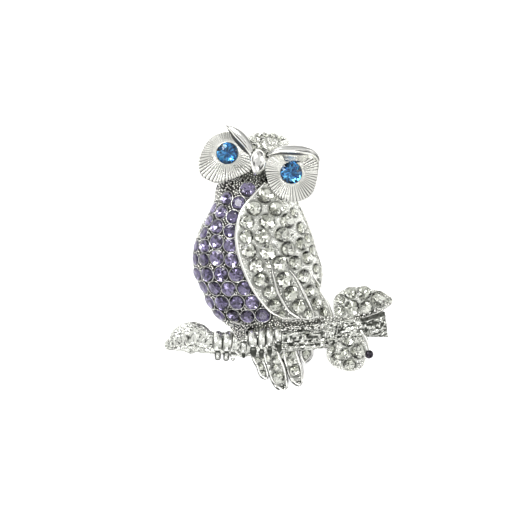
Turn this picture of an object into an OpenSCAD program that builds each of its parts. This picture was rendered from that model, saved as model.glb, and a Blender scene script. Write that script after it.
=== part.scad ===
// Figural brooch: an owl that sits on a leafy branch, one plated casting set with cut stones,
// with a pin finding on its flat back. Millimetres.
// The brooch lies on its back. +X points to the leaves, +Y up the owl and +Z out of its face.
// The origin is the middle of the bounding box, at the surface that the brooch lies on.

/* [Casting] */
// Height of the casting's flat back over the surface that the brooch lies on
back_z = 3.6; // [3.4:0.1:4.2]
// Thickness of the casting along the outline of the body
edge_h = 1.0; // [0.8:0.1:1.3]
// Height of the breast's crown over that edge
body_rise = 6.4; // [5.6:0.1:6.8]
// How far the wing stands over the breast
wing_step = 0.55; // [0.4:0.05:0.8]
// Radius of the wires that frame the wing and its feathers
wire_r = 0.27; // [0.2:0.01:0.32]

/* [Head] */
// Height of the left eye disc's middle over the casting's back
left_disc_h = 6.3; // [6:0.1:6.8]
// Height of the right eye disc's middle over the casting's back
right_disc_h = 7.2; // [6.8:0.1:7.6]
// Thickness of an eye disc
disc_t = 1.0; // [0.9:0.1:1.2]
// Number of flutes round an eye disc
flutes = 26; // [20:1:30]
// Height of a flute at the disc's edge
flute_h = 0.24; // [0.1:0.02:0.3]
// Height of the forehead's dome over the casting's back
forehead_h = 8.0; // [7.6:0.1:8.4]

/* [Branch] */
// Height of the branch's middle line over the casting's back
branch_h = 3.6; // [3.2:0.1:4.2]
// Depth of the bark's ridges, as a share of the branch's radius
bark = 0.07; // [0:0.01:0.1]
// Half width of the widest toe
toe_w = 0.8; // [0.5:0.02:0.86]
// Half thickness of a toe
toe_t = 0.45; // [0.3:0.05:0.5]

/* [Leaves and tail] */
// Height of a leaf's crown over the casting's back
leaf_h = 4.9; // [4.4:0.1:5.4]
// Thickness of a leaf
leaf_t = 1.7; // [1.5:0.1:2]
// Radius of the ball at the twig's end
ball_r = 0.74; // [0.7:0.01:0.9]
// Half thickness of a tail feather
feather_t = 0.75; // [0.7:0.05:0.9]

/* [Stones] */
// Radius of a common breast stone
breast_r = 1.08; // [0.9:0.02:1.1]
// Radius of an eye stone
eye_r = 1.78; // [1.7:0.02:1.9]
// Free gap between a stone and its seat
seat_gap = 0.06; // [0.04:0.01:0.08]
// Least gap between two stones
stone_gap = 0.14; // [0.12:0.01:0.2]

/* [Pin finding] */
// Radius of the pin stem
stem_r = 0.45; // [0.35:0.05:0.5]
// Length of the pin stem, with its point
stem_l = 14.6; // [14:0.1:15]
// Height of the stem's middle line over the surface
stem_z = 1.25; // [1.2:0.05:1.3]
// Width of the soldered bar
bar_w = 2.4; // [2:0.1:2.8]
// Thickness of the soldered bar
bar_t = 0.7; // [0.6:0.1:0.9]

/* [Hidden] */

silver = "silver";
stone_sides = 8;
eye_sides = 12;
table_share = 0.56; // table radius over girdle radius
crown_share = 0.34; // crown height over girdle radius
depth_share = 0.62; // pavilion depth over girdle radius
seat_rim = 0.9; // a seat is cut free this far over its stone's girdle
slope_step = 0.12; // half the span over which a surface's slope is measured
least_u = 0.02; // the dome is read no nearer to its edges than this share of its width

// Body, from the neck down: y, left edge, wing rim, right edge, share of the crown's height
BODY = [
    [14.0, -8.5, -2.0, 1.0, 0.66],
    [12.6, -10.2, -2.4, 2.0, 0.76],
    [11.9, -10.5, -3.0, 2.3, 0.79],
    [9.9, -10.8, -4.8, 2.9, 0.88],
    [7.75, -11.7, -6.3, 3.9, 0.95],
    [6.1, -12.7, -6.8, 4.6, 0.98],
    [4.4, -13.5, -7.1, 5.3, 1.0],
    [1.1, -14.4, -6.8, 6.3, 1.0],
    [-2.25, -14.1, -5.7, 7.2, 0.96],
    [-4.4, -13.4, -4.7, 7.0, 0.91],
    [-6.4, -12.4, -3.5, 7.2, 0.84],
    [-7.9, -11.7, -2.3, 7.9, 0.78],
    [-9.1, -11.0, -1.0, 8.5, 0.72],
    [-9.9, -10.2, 0.7, 8.8, 0.67],
    [-11.1, -8.8, 1.5, 8.9, 0.58],
    [-12.3, -6.5, 2.0, 8.2, 0.5],
];
WING_TOP = 12.6;
WING_END = -9.9;
body_columns = 15;
wing_columns = 8;

// Wires between the long feathers: x, y
FEATHER_WIRES = [
    [[-1.3, -1.3], [-0.8, -3.6], [-0.2, -5.6], [0.7, -7.3], [1.7, -8.8], [3.3, -9.9]],
    [[1.7, -1.9], [2.7, -3.1], [3.7, -4.9], [4.5, -6.6], [5.2, -8.0], [5.8, -9.9]],
    [[5.0, -2.3], [6.0, -4.1], [6.8, -6.2], [7.8, -7.8], [8.5, -9.6]],
];

// Eye discs, about their eye stones: x, y, height, slopes along x and y, rise of the edge over the middle
LEFT_DISC = [-8.7, 17.6, left_disc_h, 0.1, 0.02, 0.45];
RIGHT_DISC = [2.1, 14.35, right_disc_h, -0.05, 0.03, 0.45];
// Edge of a plate about its middle: angle, reach
LEFT_DISC_EDGE = [
    [2, 3.8], [45, 3.7], [75, 3.6], [104, 3.5], [124, 3.6], [148, 3.75], [173, 4.1], [202, 5.1],
    [223, 5.7], [239, 5.5], [249, 5.4], [266, 4.7], [288, 4.4], [311, 4.6], [322, 4.9], [340, 4.3],
];
RIGHT_DISC_EDGE = [
    [0, 4.4], [28, 4.9], [63, 4.1], [94, 3.75], [130, 4.25], [155, 4.7], [192, 4.2], [210, 4.3],
    [234, 4.6], [252, 4.7], [271, 4.9], [291, 5.0], [307, 5.0], [324, 4.7], [340, 4.4],
];
disc_rings = [0.4, 0.72, 1.0];

// Leaves: x, y, height, slope along x, slope along y, rise of the edge over the middle
UPPER_LEAF = [13.8, -7.6, leaf_h, 0, 0.06, -0.9];
LOWER_LEAF = [11.2, -15.3, leaf_h - 0.5, 0, 0.05, -0.9];
UPPER_LEAF_EDGE = [
    [0, 4.9], [9, 5.2], [19, 4.6], [39, 3.5], [62, 2.9], [103, 2.95], [133, 3.5], [149, 4.0],
    [162, 4.45], [172, 4.6], [188, 4.7], [208, 4.8], [225, 4.0], [255, 2.6], [283, 2.3], [325, 2.8],
    [348, 3.9],
];
LOWER_LEAF_EDGE = [
    [17, 3.3], [62, 3.9], [90, 3.5], [115, 3.9], [151, 3.1], [183, 3.2], [207, 3.4], [223, 3.4],
    [246, 3.35], [264, 3.35], [286, 3.6], [306, 3.9], [341, 3.5],
];
leaf_rings = [0.5, 0.85, 1.0];
leaf_points = 24;
// Knot that joins the branch to its leaves, and the belly's lower end that hangs over the branch
KNOT = [9.9, -11.6, 5.0, 0, 0, -1.2];
APRON = [-6.7, -12.2, 5.6, 0, -0.5, -1.2];
KNOT_EDGE = [
    [0, 2.3], [30, 2.5], [60, 2.4], [90, 2.0], [120, 1.5], [150, 2.2], [180, 2.2], [210, 2.4],
    [240, 2.4], [270, 1.1], [300, 1.2], [330, 1.8],
];
APRON_EDGE = [
    [0, 1.4], [45, 2.0], [90, 2.0], [135, 2.0], [165, 1.3], [200, 0.95], [240, 1.2], [262, 1.8],
    [285, 1.6], [315, 1.35],
];
knot_t = 3.4;
apron_t = 2.8;

// Branch: x, y, height over branch_h, half width, half thickness
BRANCH = [
    [-18.9, -14.7, -0.3, 0.5, 0.6],
    [-17.5, -14.1, -0.2, 1.35, 1.3],
    [-16.3, -13.5, -0.1, 2.1, 1.7],
    [-14.8, -13.2, 0, 2.6, 1.9],
    [-13.6, -13.3, 0, 2.4, 1.9],
    [-12.3, -13.8, 0, 1.95, 1.8],
    [-11.2, -14.1, 0, 1.7, 1.8],
    [-9.0, -14.2, 0, 1.75, 1.8],
    [-6.0, -14.6, -0.1, 1.7, 1.9],
    [-4.2, -14.1, -0.1, 2.0, 1.95],
    [-1.5, -13.6, 0, 2.05, 2.05],
    [1.8, -13.3, 0, 2.0, 2.05],
    [5.2, -13.1, 0, 2.0, 2.0],
    [8.2, -12.7, -0.1, 1.9, 1.9],
    [10.2, -12.0, -0.2, 1.7, 1.8],
    [13.0, -11.5, -0.3, 1.35, 1.7],
    [15.5, -11.3, -0.2, 1.7, 1.7],
    [17.9, -11.0, -0.1, 2.05, 1.8],
];
branch_sides = 10;
// Sweeps: x, y, height over the casting's back, half width, half thickness
TWIG = [
    [12.9, -10.9, 3.0, 0.4, 0.4],
    [13.8, -12.2, 4.6, 0.36, 0.36],
    [14.7, -14.0, 4.9, 0.33, 0.33],
    [15.05, -15.3, 4.9, 0.3, 0.3],
];
BALL = [15.0, -15.95, 4.9];
LEFT_BROW = [
    [-9.1, 21.9, 6.6, 0.1, 0.15],
    [-8.3, 21.45, 6.8, 0.75, 0.6],
    [-6.75, 20.45, 7.0, 1.02, 1.05],
    [-5.75, 19.4, 7.1, 0.96, 1.2],
    [-5.05, 18.3, 7.2, 0.7, 1.25],
    [-4.55, 16.8, 7.3, 0.15, 0.6],
];
RIGHT_BROW = [
    [-1.95, 17.3, 8.0, 0.14, 0.7],
    [-0.7, 17.85, 8.1, 0.45, 1.2],
    [0.6, 18.2, 8.15, 0.65, 1.4],
    [2.1, 18.3, 8.15, 0.72, 1.45],
    [4.0, 18.2, 8.0, 0.72, 1.35],
    [5.25, 18.0, 7.8, 0.68, 1.15],
    [6.3, 17.55, 7.6, 0.5, 0.8],
    [6.95, 17.0, 7.4, 0.15, 0.3],
];
BEAK = [
    [-3.55, 18.1, 7.6, 0.3, 1.1],
    [-3.45, 17.3, 7.8, 1.1, 1.8],
    [-3.45, 16.3, 7.9, 1.4, 2.0],
    [-3.55, 15.2, 7.7, 1.2, 1.85],
    [-3.85, 14.3, 7.2, 0.6, 1.4],
    [-4.2, 13.75, 6.8, 0.12, 0.8],
];
brow_sides = 6;
TAIL = [
    [[-1.3, -11.6, 0.9, 1.1], [-1.4, -14.0, 0.9, 1.3], [-1.2, -16.1, 0.3, 1.45], [-0.35, -18.6, -0.9, 1.6],
        [0.05, -20.1, -1.75, 1.45], [0.5, -21.25, -2.4, 1.2], [0.75, -21.85, -2.65, 0.8], [0.75, -22.15, -2.7, 0.3]],
    [[1.4, -11.6, 0.9, 1.0], [1.6, -13.6, 0.9, 1.1], [1.85, -15.6, 0.5, 1.3], [2.6, -18.3, -0.7, 1.4],
        [2.95, -19.7, -1.6, 1.3], [3.2, -20.5, -2.1, 1.05], [3.4, -21.0, -2.3, 0.7], [3.5, -21.25, -2.4, 0.3]],
    [[4.2, -11.6, 0.8, 1.0], [4.4, -13.6, 0.8, 1.1], [4.6, -15.3, 0.5, 1.2], [4.55, -16.5, 0.1, 1.0],
        [4.35, -17.4, -0.2, 0.35]],
    [[-4.0, -11.6, 0.7, 0.9], [-3.9, -14.6, 0.6, 1.0], [-3.45, -16.9, -0.3, 1.0], [-2.95, -17.9, -0.8, 0.95],
        [-2.55, -19.2, -1.3, 0.9], [-2.3, -19.8, -1.55, 0.7], [-2.1, -20.2, -1.7, 0.3]],
];
feather_sides = 8;

// Toes: x of the root and of the claw, first and last angle round the branch, share of toe_w.
// The branch's upper side is at 90 degrees and its front at 0.
TOES = [
    [-10.2, -10.2, 80, -100, 1.0],
    [-8.35, -8.9, 80, -100, 0.97],
    [-7.6, -7.7, -35, -95, 0.62],
    [-5.9, -5.9, 20, -60, 0.62],
    [-4.5, -4.2, 75, -66, 1.0],
    [-2.75, -3.0, 85, -95, 0.78],
    [-1.55, -1.55, 85, -85, 0.75],
    [-0.35, 0.1, 88, -64, 0.78],
];
toe_stations = 7;

toe_seat = 0.15; // how far a toe's middle line lies over the bark
// Legs between the body's hem and the branch: x of each
LEGS = [-9.5, -2.4];
leg_top = [-11.0, 1.3]; // y and radius at the hem
leg_foot = [-13.0, 1.1]; // y and radius on the branch

// Blocks that carry the head, each between two columns: x, y, height over the back, lower and upper radius
HEAD_BLOCKS = [
    [[-8.0, 16.6, left_disc_h - 0.6, 2.4, 3.2], [-3.0, 17.6, forehead_h - 2.4, 2.4, 2.2]],
    [[1.8, 14.6, right_disc_h - 0.6, 3.2, 3.6], [-3.0, 17.4, forehead_h - 2.0, 2.4, 2.2]],
    [[-3.2, 16.4, right_disc_h - 1.0, 2.2, 1.3], [-4.4, 13.4, left_disc_h - 1.1, 2.2, 1.9]],
];
collar_rim = 0.22; // width of the metal round an eye stone

// Forehead dome: x, y, half width, half height, base over the casting's back
FOREHEAD = [-2.5, 19.1, 4.3, 1.95, 6.4];

// Breast stones: y, x of each stone in the row
BREAST = [
    [11.25, [-5.3]],
    [9.9, [-8.7]],
    [9.15, [-6.9]],
    [8.35, [-11.0]],
    [7.7, [-9.5]],
    [6.9, [-7.85]],
    [6.3, [-11.7]],
    [5.25, [-10.2]],
    [4.6, [-8.3]],
    [4.25, [-12.5]],
    [2.6, [-10.4]],
    [2.25, [-8.3]],
    [2.05, [-13.8, -12.4]],
    [0.25, [-10.4]],
    [-0.1, [-13.9, -12.5, -8.0]],
    [-2.4, [-9.7]],
    [-2.65, [-13.6, -11.8, -7.3]],
    [-4.85, [-12.6, -10.7, -8.45, -6.0]],
    [-7.3, [-11.5, -9.4, -7.1, -4.7]],
    [-9.45, [-10.0, -7.5, -5.3, -2.9]],
];
// Clear stones: x, y, radius
WING = [
    [-2.4, 10.2, 1.25],
    [-4.2, 8.1, 1.25], [-0.7, 8.1, 1.25], [2.5, 7.6, 0.85],
    [-5.15, 5.85, 1.2], [-1.8, 6.0, 1.3], [1.3, 6.1, 1.2], [3.8, 5.0, 1.05],
    [-5.2, 3.75, 1.15], [-2.5, 3.7, 1.25], [0.7, 4.0, 1.2], [4.8, 3.4, 0.8],
    [-4.7, 1.3, 1.2], [-1.9, 1.3, 1.3], [1.3, 1.65, 1.25], [3.75, 2.4, 1.0], [5.6, 1.3, 0.85],
    [-3.85, -1.05, 1.2], [-1.8, -0.95, 0.5], [0.15, -0.7, 1.25], [2.55, -0.55, 1.1], [4.75, 0.15, 1.0],
    [6.25, -1.7, 0.8],
    [-2.9, -3.35, 1.25], [0.95, -3.35, 1.25], [4.1, -3.0, 1.05], [6.45, -4.2, 0.65],
    [-1.65, -5.65, 1.1], [2.0, -5.6, 1.2], [5.1, -5.45, 0.95],
    [-0.65, -7.5, 1.1], [3.35, -7.75, 1.15], [6.35, -7.6, 1.0],
    [0.3, -9.1, 0.7], [4.75, -9.05, 0.9], [7.4, -8.9, 0.8],
];
FOREHEAD_STONES = [
    [-2.7, 19.0, 0.85], [-4.15, 19.6, 0.5], [-3.4, 20.45, 0.5], [-2.2, 20.5, 0.5], [-1.0, 20.3, 0.5],
    [0.1, 19.9, 0.45], [-1.2, 19.2, 0.5], [0.0, 19.2, 0.3], [-4.1, 18.6, 0.4],
];
UPPER_LEAF_STONES = [
    [10.2, -6.8, 0.8], [11.9, -6.0, 0.95], [14.2, -5.8, 1.05], [16.5, -6.9, 1.15], [18.15, -7.0, 0.45],
    [12.2, -8.0, 1.1], [14.4, -7.9, 1.0], [10.4, -8.6, 0.8],
];
LOWER_LEAF_STONES = [
    [11.35, -13.95, 1.0], [9.95, -13.1, 0.85], [13.0, -15.25, 1.25], [9.85, -16.7, 0.97], [11.8, -17.75, 1.0],
    [10.9, -15.55, 0.6], [8.85, -15.2, 0.55],
];
// Tail stones: feather, x, y, radius
TAIL_STONES = [
    [0, -1.85, -16.75, 0.75], [0, -0.5, -16.9, 0.7], [0, -0.2, -20.0, 1.05], [0, -0.55, -18.3, 0.6],
    [1, 1.05, -16.15, 0.6], [1, 2.35, -16.15, 0.6], [1, 1.75, -17.4, 0.65], [1, 2.67, -18.9, 1.0],
    [2, 4.6, -16.1, 0.8],
    [3, -3.6, -17.1, 0.55], [3, -3.0, -18.25, 0.5], [3, -2.75, -19.25, 0.55],
];

// Pin finding, on the line across the owl's chest
pin_y = 5.0;
bar_x = [-11.9, 3.4];
solder_gap = 0.05;
bar_top = back_z - solder_gap;
hinge_l = 2.2;
catch_l = 1.4;
catch_x = 1.5;
catch_r = stem_z;
catch_bore = 0.72;
point_l = 1.6;
point_r = 0.06;

function mix(a, b, t) = a + (b - a) * t;

function limit(v, low, high) = min(high, max(low, v));

function unit(v) = v / norm(v);

// Row of a table in falling order whose stretch holds the key
function row_of(rows, key, i = 0) =
    i >= len(rows) - 2 || key >= rows[i + 1][0] ? i : row_of(rows, key, i + 1);

// Value of a column where the first column has the key
function at(rows, key, column) =
    let(
        i = row_of(rows, key),
        a = rows[i],
        b = rows[i + 1],
        t = limit((a[0] - key) / (a[0] - b[0]), 0, 1)
    ) mix(a[column], b[column], t);

// Height of the rounded cross-section where u goes from 0 to 1 across it
function dome(u) = sqrt(max(0, 1 - pow(abs(2 * u - 1), 2.4)));

function body_z(x, y) =
    let(
        left = at(BODY, y, 1),
        right = at(BODY, y, 3),
        u = limit((x - left) / (right - left), least_u, 1 - least_u)
    ) back_z + edge_h + body_rise * at(BODY, y, 4) * dome(u);

function wing_z(x, y) = body_z(x, y) + wing_step;

// How far a plate's edge reaches at an angle
function reach(edge, angle, i = 0) =
    let(
        n = len(edge),
        a = edge[(i + n - 1) % n],
        b = edge[i % n],
        low = i == 0 ? a[0] - 360 : a[0],
        high = i == n ? b[0] + 360 : b[0]
    ) angle <= high || i >= n
        ? mix(a[1], b[1], limit((angle - low) / (high - low), 0, 1))
        : reach(edge, angle, i + 1);

function plate_z(plate, edge, x, y) =
    let(
        dx = x - plate[0],
        dy = y - plate[1],
        angle = (atan2(dy, dx) + 360) % 360,
        share = norm([dx, dy]) / reach(edge, angle)
    ) back_z + plate[2] + plate[3] * dx + plate[4] * dy + plate[5] * share * share;

function forehead_z(x, y) =
    let(
        dx = (x - FOREHEAD[0]) / FOREHEAD[2],
        dy = (y - FOREHEAD[1]) / FOREHEAD[3]
    ) back_z + FOREHEAD[4] + (forehead_h - FOREHEAD[4]) * sqrt(max(0.04, 1 - dx * dx - dy * dy));

// Height of a tail feather's top along its middle line
function feather_z(feather, y) =
    let(rows = [for (r = feather) [r[1], r[2]]]) back_z + at(rows, y, 1) + feather_t;

// A stone on a surface given by its height function: place, normal, radius
function set_on(height, x, y, r) =
    [
        [x, y, height(x, y)],
        unit([
            height(x - slope_step, y) - height(x + slope_step, y),
            height(x, y - slope_step) - height(x, y + slope_step),
            2 * slope_step,
        ]),
        r,
    ];

// The same stones, each small enough to stay clear of the others
function spaced(stones) =
    [
        for (i = [0 : len(stones) - 1])
            let(
                room = min([
                    for (j = [0 : len(stones) - 1])
                        if (j != i)
                            let(d = norm(stones[i][0] - stones[j][0]))
                                (d - stone_gap) * stones[i][2] / (stones[i][2] + stones[j][2])
                ])
            ) [stones[i][0], stones[i][1], min(stones[i][2], room)]
    ];

breast_set = spaced([
    for (row = BREAST) for (x = row[1]) set_on(function (x, y) body_z(x, y), x, row[0], breast_r)
]);
wing_set = spaced([for (s = WING) set_on(function (x, y) wing_z(x, y), s.x, s.y, s[2])]);
forehead_set = spaced([
    for (s = FOREHEAD_STONES) set_on(function (x, y) forehead_z(x, y), s.x, s.y, s[2])
]);
upper_leaf_set = spaced([
    for (s = UPPER_LEAF_STONES)
        set_on(function (x, y) plate_z(UPPER_LEAF, UPPER_LEAF_EDGE, x, y), s.x, s.y, s[2])
]);
lower_leaf_set = spaced([
    for (s = LOWER_LEAF_STONES)
        set_on(function (x, y) plate_z(LOWER_LEAF, LOWER_LEAF_EDGE, x, y), s.x, s.y, s[2])
]);
tail_set = spaced([
    for (s = TAIL_STONES) set_on(function (x, y) feather_z(TAIL[s[0]], y), s[1], s[2], s[3])
]);
left_eye = [[LEFT_DISC.x, LEFT_DISC.y, back_z + LEFT_DISC.z + 0.3], unit([-0.1, 0, 1]), eye_r];
right_eye = [[RIGHT_DISC.x, RIGHT_DISC.y, back_z + RIGHT_DISC.z + 0.3], unit([0.05, 0, 1]), eye_r];

// Puts its children on a surface point with +Z along the normal
module stand(place, normal) {
    translate(place)
        rotate([0, acos(normal.z), atan2(normal.y, normal.x)])
            children();
}

// Cut stone with its girdle at z = 0: a table, a ring of crown facets and a ring of pavilion facets
module cut_stone(r, sides) {
    ring = [for (k = [0 : sides - 1]) [cos(360 * k / sides), sin(360 * k / sides)]];
    points = concat(
        [for (p = ring) [p.x * r * table_share, p.y * r * table_share, r * crown_share]],
        [for (p = ring) [p.x * r, p.y * r, 0]],
        [[0, 0, -r * depth_share]]
    );
    faces = concat(
        [[for (k = [sides - 1 : -1 : 0]) k]],
        [for (k = [0 : sides - 1]) [k, (k + 1) % sides, sides + (k + 1) % sides, sides + k]],
        [for (k = [0 : sides - 1]) [sides + k, sides + (k + 1) % sides, 2 * sides]]
    );
    hull()
        polyhedron(points, faces);
}

// Room that a stone's seat takes out of the metal
module seat(r, sides) {
    wide = r + seat_gap;
    ring = [for (k = [0 : sides - 1]) [cos(360 * k / sides), sin(360 * k / sides)]];
    points = concat(
        [for (p = ring) [p.x * wide, p.y * wide, seat_rim]],
        [for (p = ring) [p.x * wide, p.y * wide, 0]],
        [[0, 0, -wide * depth_share - seat_gap]]
    );
    faces = concat(
        [[for (k = [sides - 1 : -1 : 0]) k]],
        [for (k = [0 : sides - 1]) [k, (k + 1) % sides, sides + (k + 1) % sides, sides + k]],
        [for (k = [0 : sides - 1]) [sides + k, sides + (k + 1) % sides, 2 * sides]]
    );
    hull()
        polyhedron(points, faces);
}

module stones(set, sides = stone_sides) {
    for (s = set)
        stand(s[0], s[1])
            cut_stone(s[2], sides);
}

module seats(set, sides = stone_sides) {
    for (s = set)
        stand(s[0], s[1])
            seat(s[2], sides);
}

// Solid between a grid of top points, row by row from +Y down, and a flat floor
module relief(grid, floor_z) {
    rows = len(grid);
    columns = len(grid[0]);
    edge = concat(
        [for (j = [0 : columns - 1]) j],
        [for (i = [1 : rows - 1]) i * columns + columns - 1],
        [for (j = [columns - 2 : -1 : 0]) (rows - 1) * columns + j],
        [for (i = [rows - 2 : -1 : 1]) i * columns]
    );
    top = [for (line = grid) each line];
    feet = [for (k = edge) [top[k].x, top[k].y, floor_z]];
    count = len(top);
    n = len(edge);
    polyhedron(
        concat(top, feet),
        concat(
            [
                for (i = [0 : rows - 2])
                    for (j = [0 : columns - 2])
                        let(k = i * columns + j)
                            each [[k, k + 1, k + columns + 1], [k, k + columns + 1, k + columns]]
            ],
            [for (k = [0 : n - 1]) [edge[k], count + k, count + (k + 1) % n, edge[(k + 1) % n]]],
            [[for (k = [n - 1 : -1 : 0]) count + k]]
        )
    );
}

// Elliptic tube along rows of x, y, height over the back, half width, half thickness.
// across fixes the width's direction where the tube turns towards +Z. rough raises every other corner.
module sweep(rows, sides, across = undef, rough = 0) {
    n = len(rows);
    line = [for (r = rows) [r[0], r[1], back_z + r[2]]];
    points = [
        for (i = [0 : n - 1])
            let(
                along = unit(line[min(i + 1, n - 1)] - line[max(i - 1, 0)]),
                side = is_undef(across) ? unit(cross(along, [0, 0, 1])) : across,
                up = cross(side, along)
            )
                for (k = [0 : sides - 1])
                    let(
                        a = 90 + 360 * k / sides,
                        swell = 1 + rough * (((i * 3 + k * 5) % 4) - 1.5) / 1.5
                    ) line[i] + (side * rows[i][3] * cos(a) + up * rows[i][4] * sin(a)) * swell
    ];
    polyhedron(
        points,
        concat(
            [
                for (i = [0 : n - 2])
                    for (k = [0 : sides - 1])
                        let(a = i * sides + k, b = i * sides + (k + 1) % sides)
                            each [[a, b, b + sides], [a, b + sides, a + sides]]
            ],
            [[for (k = [sides - 1 : -1 : 0]) k]],
            [[for (k = [0 : sides - 1]) (n - 1) * sides + k]]
        )
    );
}

// Plate about its middle whose rings follow its edge. Every other corner is raised by ridge at the edge.
module plate(form, edge, rings, corners, thickness, ridge = 0) {
    middle = [form[0], form[1]];
    layer = [
        for (share = rings)
            for (k = [0 : corners - 1])
                let(
                    angle = 360 * k / corners,
                    p = middle + share * reach(edge, angle) * [cos(angle), sin(angle)],
                    lift = ridge * share * (k % 2 == 0 ? 0.5 : -0.5)
                ) [p.x, p.y, plate_z(form, edge, p.x, p.y) + lift]
    ];
    last = (len(rings) - 1) * corners;
    under = [for (k = [0 : corners - 1]) layer[last + k] - [0, 0, thickness]];
    count = len(layer);
    polyhedron(
        concat(
            layer,
            under,
            [[middle.x, middle.y, back_z + form[2]], [middle.x, middle.y, back_z + form[2] - thickness]]
        ),
        concat(
            [for (k = [0 : corners - 1]) [count + corners, (k + 1) % corners, k]],
            [
                for (i = [0 : len(rings) - 2])
                    for (k = [0 : corners - 1])
                        let(a = i * corners + k, b = i * corners + (k + 1) % corners)
                            each [[a, b, b + corners], [a, b + corners, a + corners]]
            ],
            [
                for (k = [0 : corners - 1])
                    let(a = last + k, b = last + (k + 1) % corners)
                        each [
                            [a, b, count + (k + 1) % corners],
                            [a, count + (k + 1) % corners, count + k],
                        ]
            ],
            [for (k = [0 : corners - 1]) [count + corners + 1, count + k, count + (k + 1) % corners]]
        )
    );
}

// Breast and back of the owl, domed from its left edge to its right edge
module body_relief() {
    relief(
        [
            for (row = BODY)
                [
                    for (j = [0 : body_columns - 1])
                        let(
                            c = cos(180 * j / (body_columns - 1)),
                            u = 0.5 - 0.5 * sign(c) * pow(abs(c), 1 / 1.2)
                        ) [mix(row[1], row[3], u), row[0], back_z + edge_h + body_rise * row[4] * dome(u)]
                ]
        ],
        back_z
    );
}

// Wing panel, one step over the body
module wing_relief() {
    relief(
        [
            for (row = BODY)
                if (row[0] <= WING_TOP && row[0] >= WING_END)
                    [
                        for (j = [0 : wing_columns - 1])
                            let(x = mix(row[2], row[3], sin(90 * j / (wing_columns - 1))))
                                [x, row[0], wing_z(x, row[0])]
                    ]
        ],
        back_z
    );
}

module wire(path) {
    sweep([for (p = path) [p.x, p.y, wing_z(p.x, p.y) - back_z + wire_r * 0.2, wire_r, wire_r]], 6);
}

module wing_wires() {
    wire([for (row = BODY) if (row[0] <= WING_TOP && row[0] >= WING_END) [row[2], row[0]]]);
    for (path = FEATHER_WIRES)
        wire(path);
    // Scalloped hem under the three feathers
    wire([[0.7, -9.9], [2.0, -10.0], [3.4, -9.95], [4.6, -10.1], [5.8, -9.95], [7.3, -10.0], [8.6, -9.8]]);
}

// What carries the discs, the forehead and the beak
module head_core() {
    for (pair = HEAD_BLOCKS)
        hull()
            for (c = pair)
                translate([c.x, c.y, back_z])
                    cylinder(h = c.z, r1 = c[3], r2 = c[4], $fn = 20);
}

module forehead_dome() {
    translate([FOREHEAD[0], FOREHEAD[1], back_z + FOREHEAD[4] - 0.3])
        scale([FOREHEAD[2], FOREHEAD[3], forehead_h - FOREHEAD[4] + 0.3])
            sphere(r = 1, $fn = 20);
}

// Low collar that holds an eye stone
module eye_collar(eye) {
    stand(eye[0] - [0, 0, 1], eye[1])
        cylinder(h = 1.05, r = eye_r + collar_rim, $fn = 24);
}

module head() {
    head_core();
    plate(LEFT_DISC, LEFT_DISC_EDGE, disc_rings, 2 * flutes, disc_t, flute_h);
    plate(RIGHT_DISC, RIGHT_DISC_EDGE, disc_rings, 2 * flutes, disc_t, flute_h);
    forehead_dome();
    sweep(LEFT_BROW, brow_sides);
    sweep(RIGHT_BROW, brow_sides);
    sweep(BEAK, brow_sides);
    eye_collar(left_eye);
    eye_collar(right_eye);
}

module branch() {
    sweep([for (r = BRANCH) [r[0], r[1], r[2] + branch_h, r[3], r[4]]], branch_sides, rough = bark);
    plate(KNOT, KNOT_EDGE, leaf_rings, leaf_points, knot_t);
}

// Branch line as a falling table of x, y, height, half width, half thickness, read at any x
BRANCH_LINE = [for (i = [len(BRANCH) - 1 : -1 : 0]) BRANCH[i]];

// Toe that grips the branch, from its root on the upper side to its claw on the lower side
module toe(root, claw, first, last, wide) {
    sweep(
        [
            for (i = [0 : toe_stations - 1])
                let(
                    t = i / (toe_stations - 1),
                    x = mix(root, claw, t),
                    a = mix(first, last, t),
                    slim = 1 - 0.55 * pow(t, 3)
                )
                    [
                        x,
                        at(BRANCH_LINE, x, 1) + (at(BRANCH_LINE, x, 3) + toe_seat) * sin(a),
                        at(BRANCH_LINE, x, 2) + branch_h + (at(BRANCH_LINE, x, 4) + toe_seat) * cos(a),
                        wide * slim,
                        toe_t * slim,
                    ]
        ],
        8,
        across = [-1, 0, 0]
    );
}

module feet() {
    for (t = TOES)
        toe(t[0], t[1], t[2], t[3], t[4] * toe_w);
    for (x = LEGS)
        hull() {
            translate([x, leg_top[0], back_z + edge_h])
                cylinder(h = branch_h - 1.2, r = leg_top[1], $fn = 14);
            translate([x, leg_foot[0], back_z + edge_h])
                cylinder(h = branch_h + 0.2, r = leg_foot[1], $fn = 14);
        }
}

module leaves() {
    plate(UPPER_LEAF, UPPER_LEAF_EDGE, leaf_rings, leaf_points, leaf_t);
    plate(LOWER_LEAF, LOWER_LEAF_EDGE, leaf_rings, leaf_points, leaf_t);
}

module twig() {
    sweep(TWIG, 8);
    translate([BALL.x, BALL.y, back_z + BALL.z])
        sphere(r = ball_r, $fn = 16);
}

module tail() {
    for (feather = TAIL)
        sweep([for (r = feather) [r[0], r[1], r[2], r[3], feather_t]], feather_sides);
}

module casting() {
    color(silver)
        difference() {
            union() {
                body_relief();
                wing_relief();
                plate(APRON, APRON_EDGE, leaf_rings, leaf_points, apron_t);
                wing_wires();
                head();
                branch();
                feet();
                leaves();
                twig();
                tail();
            }
            seats(breast_set);
            seats(wing_set);
            seats(forehead_set);
            seats(upper_leaf_set);
            seats(lower_leaf_set);
            seats(tail_set);
            seats([left_eye, right_eye], eye_sides);
        }
}

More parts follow.
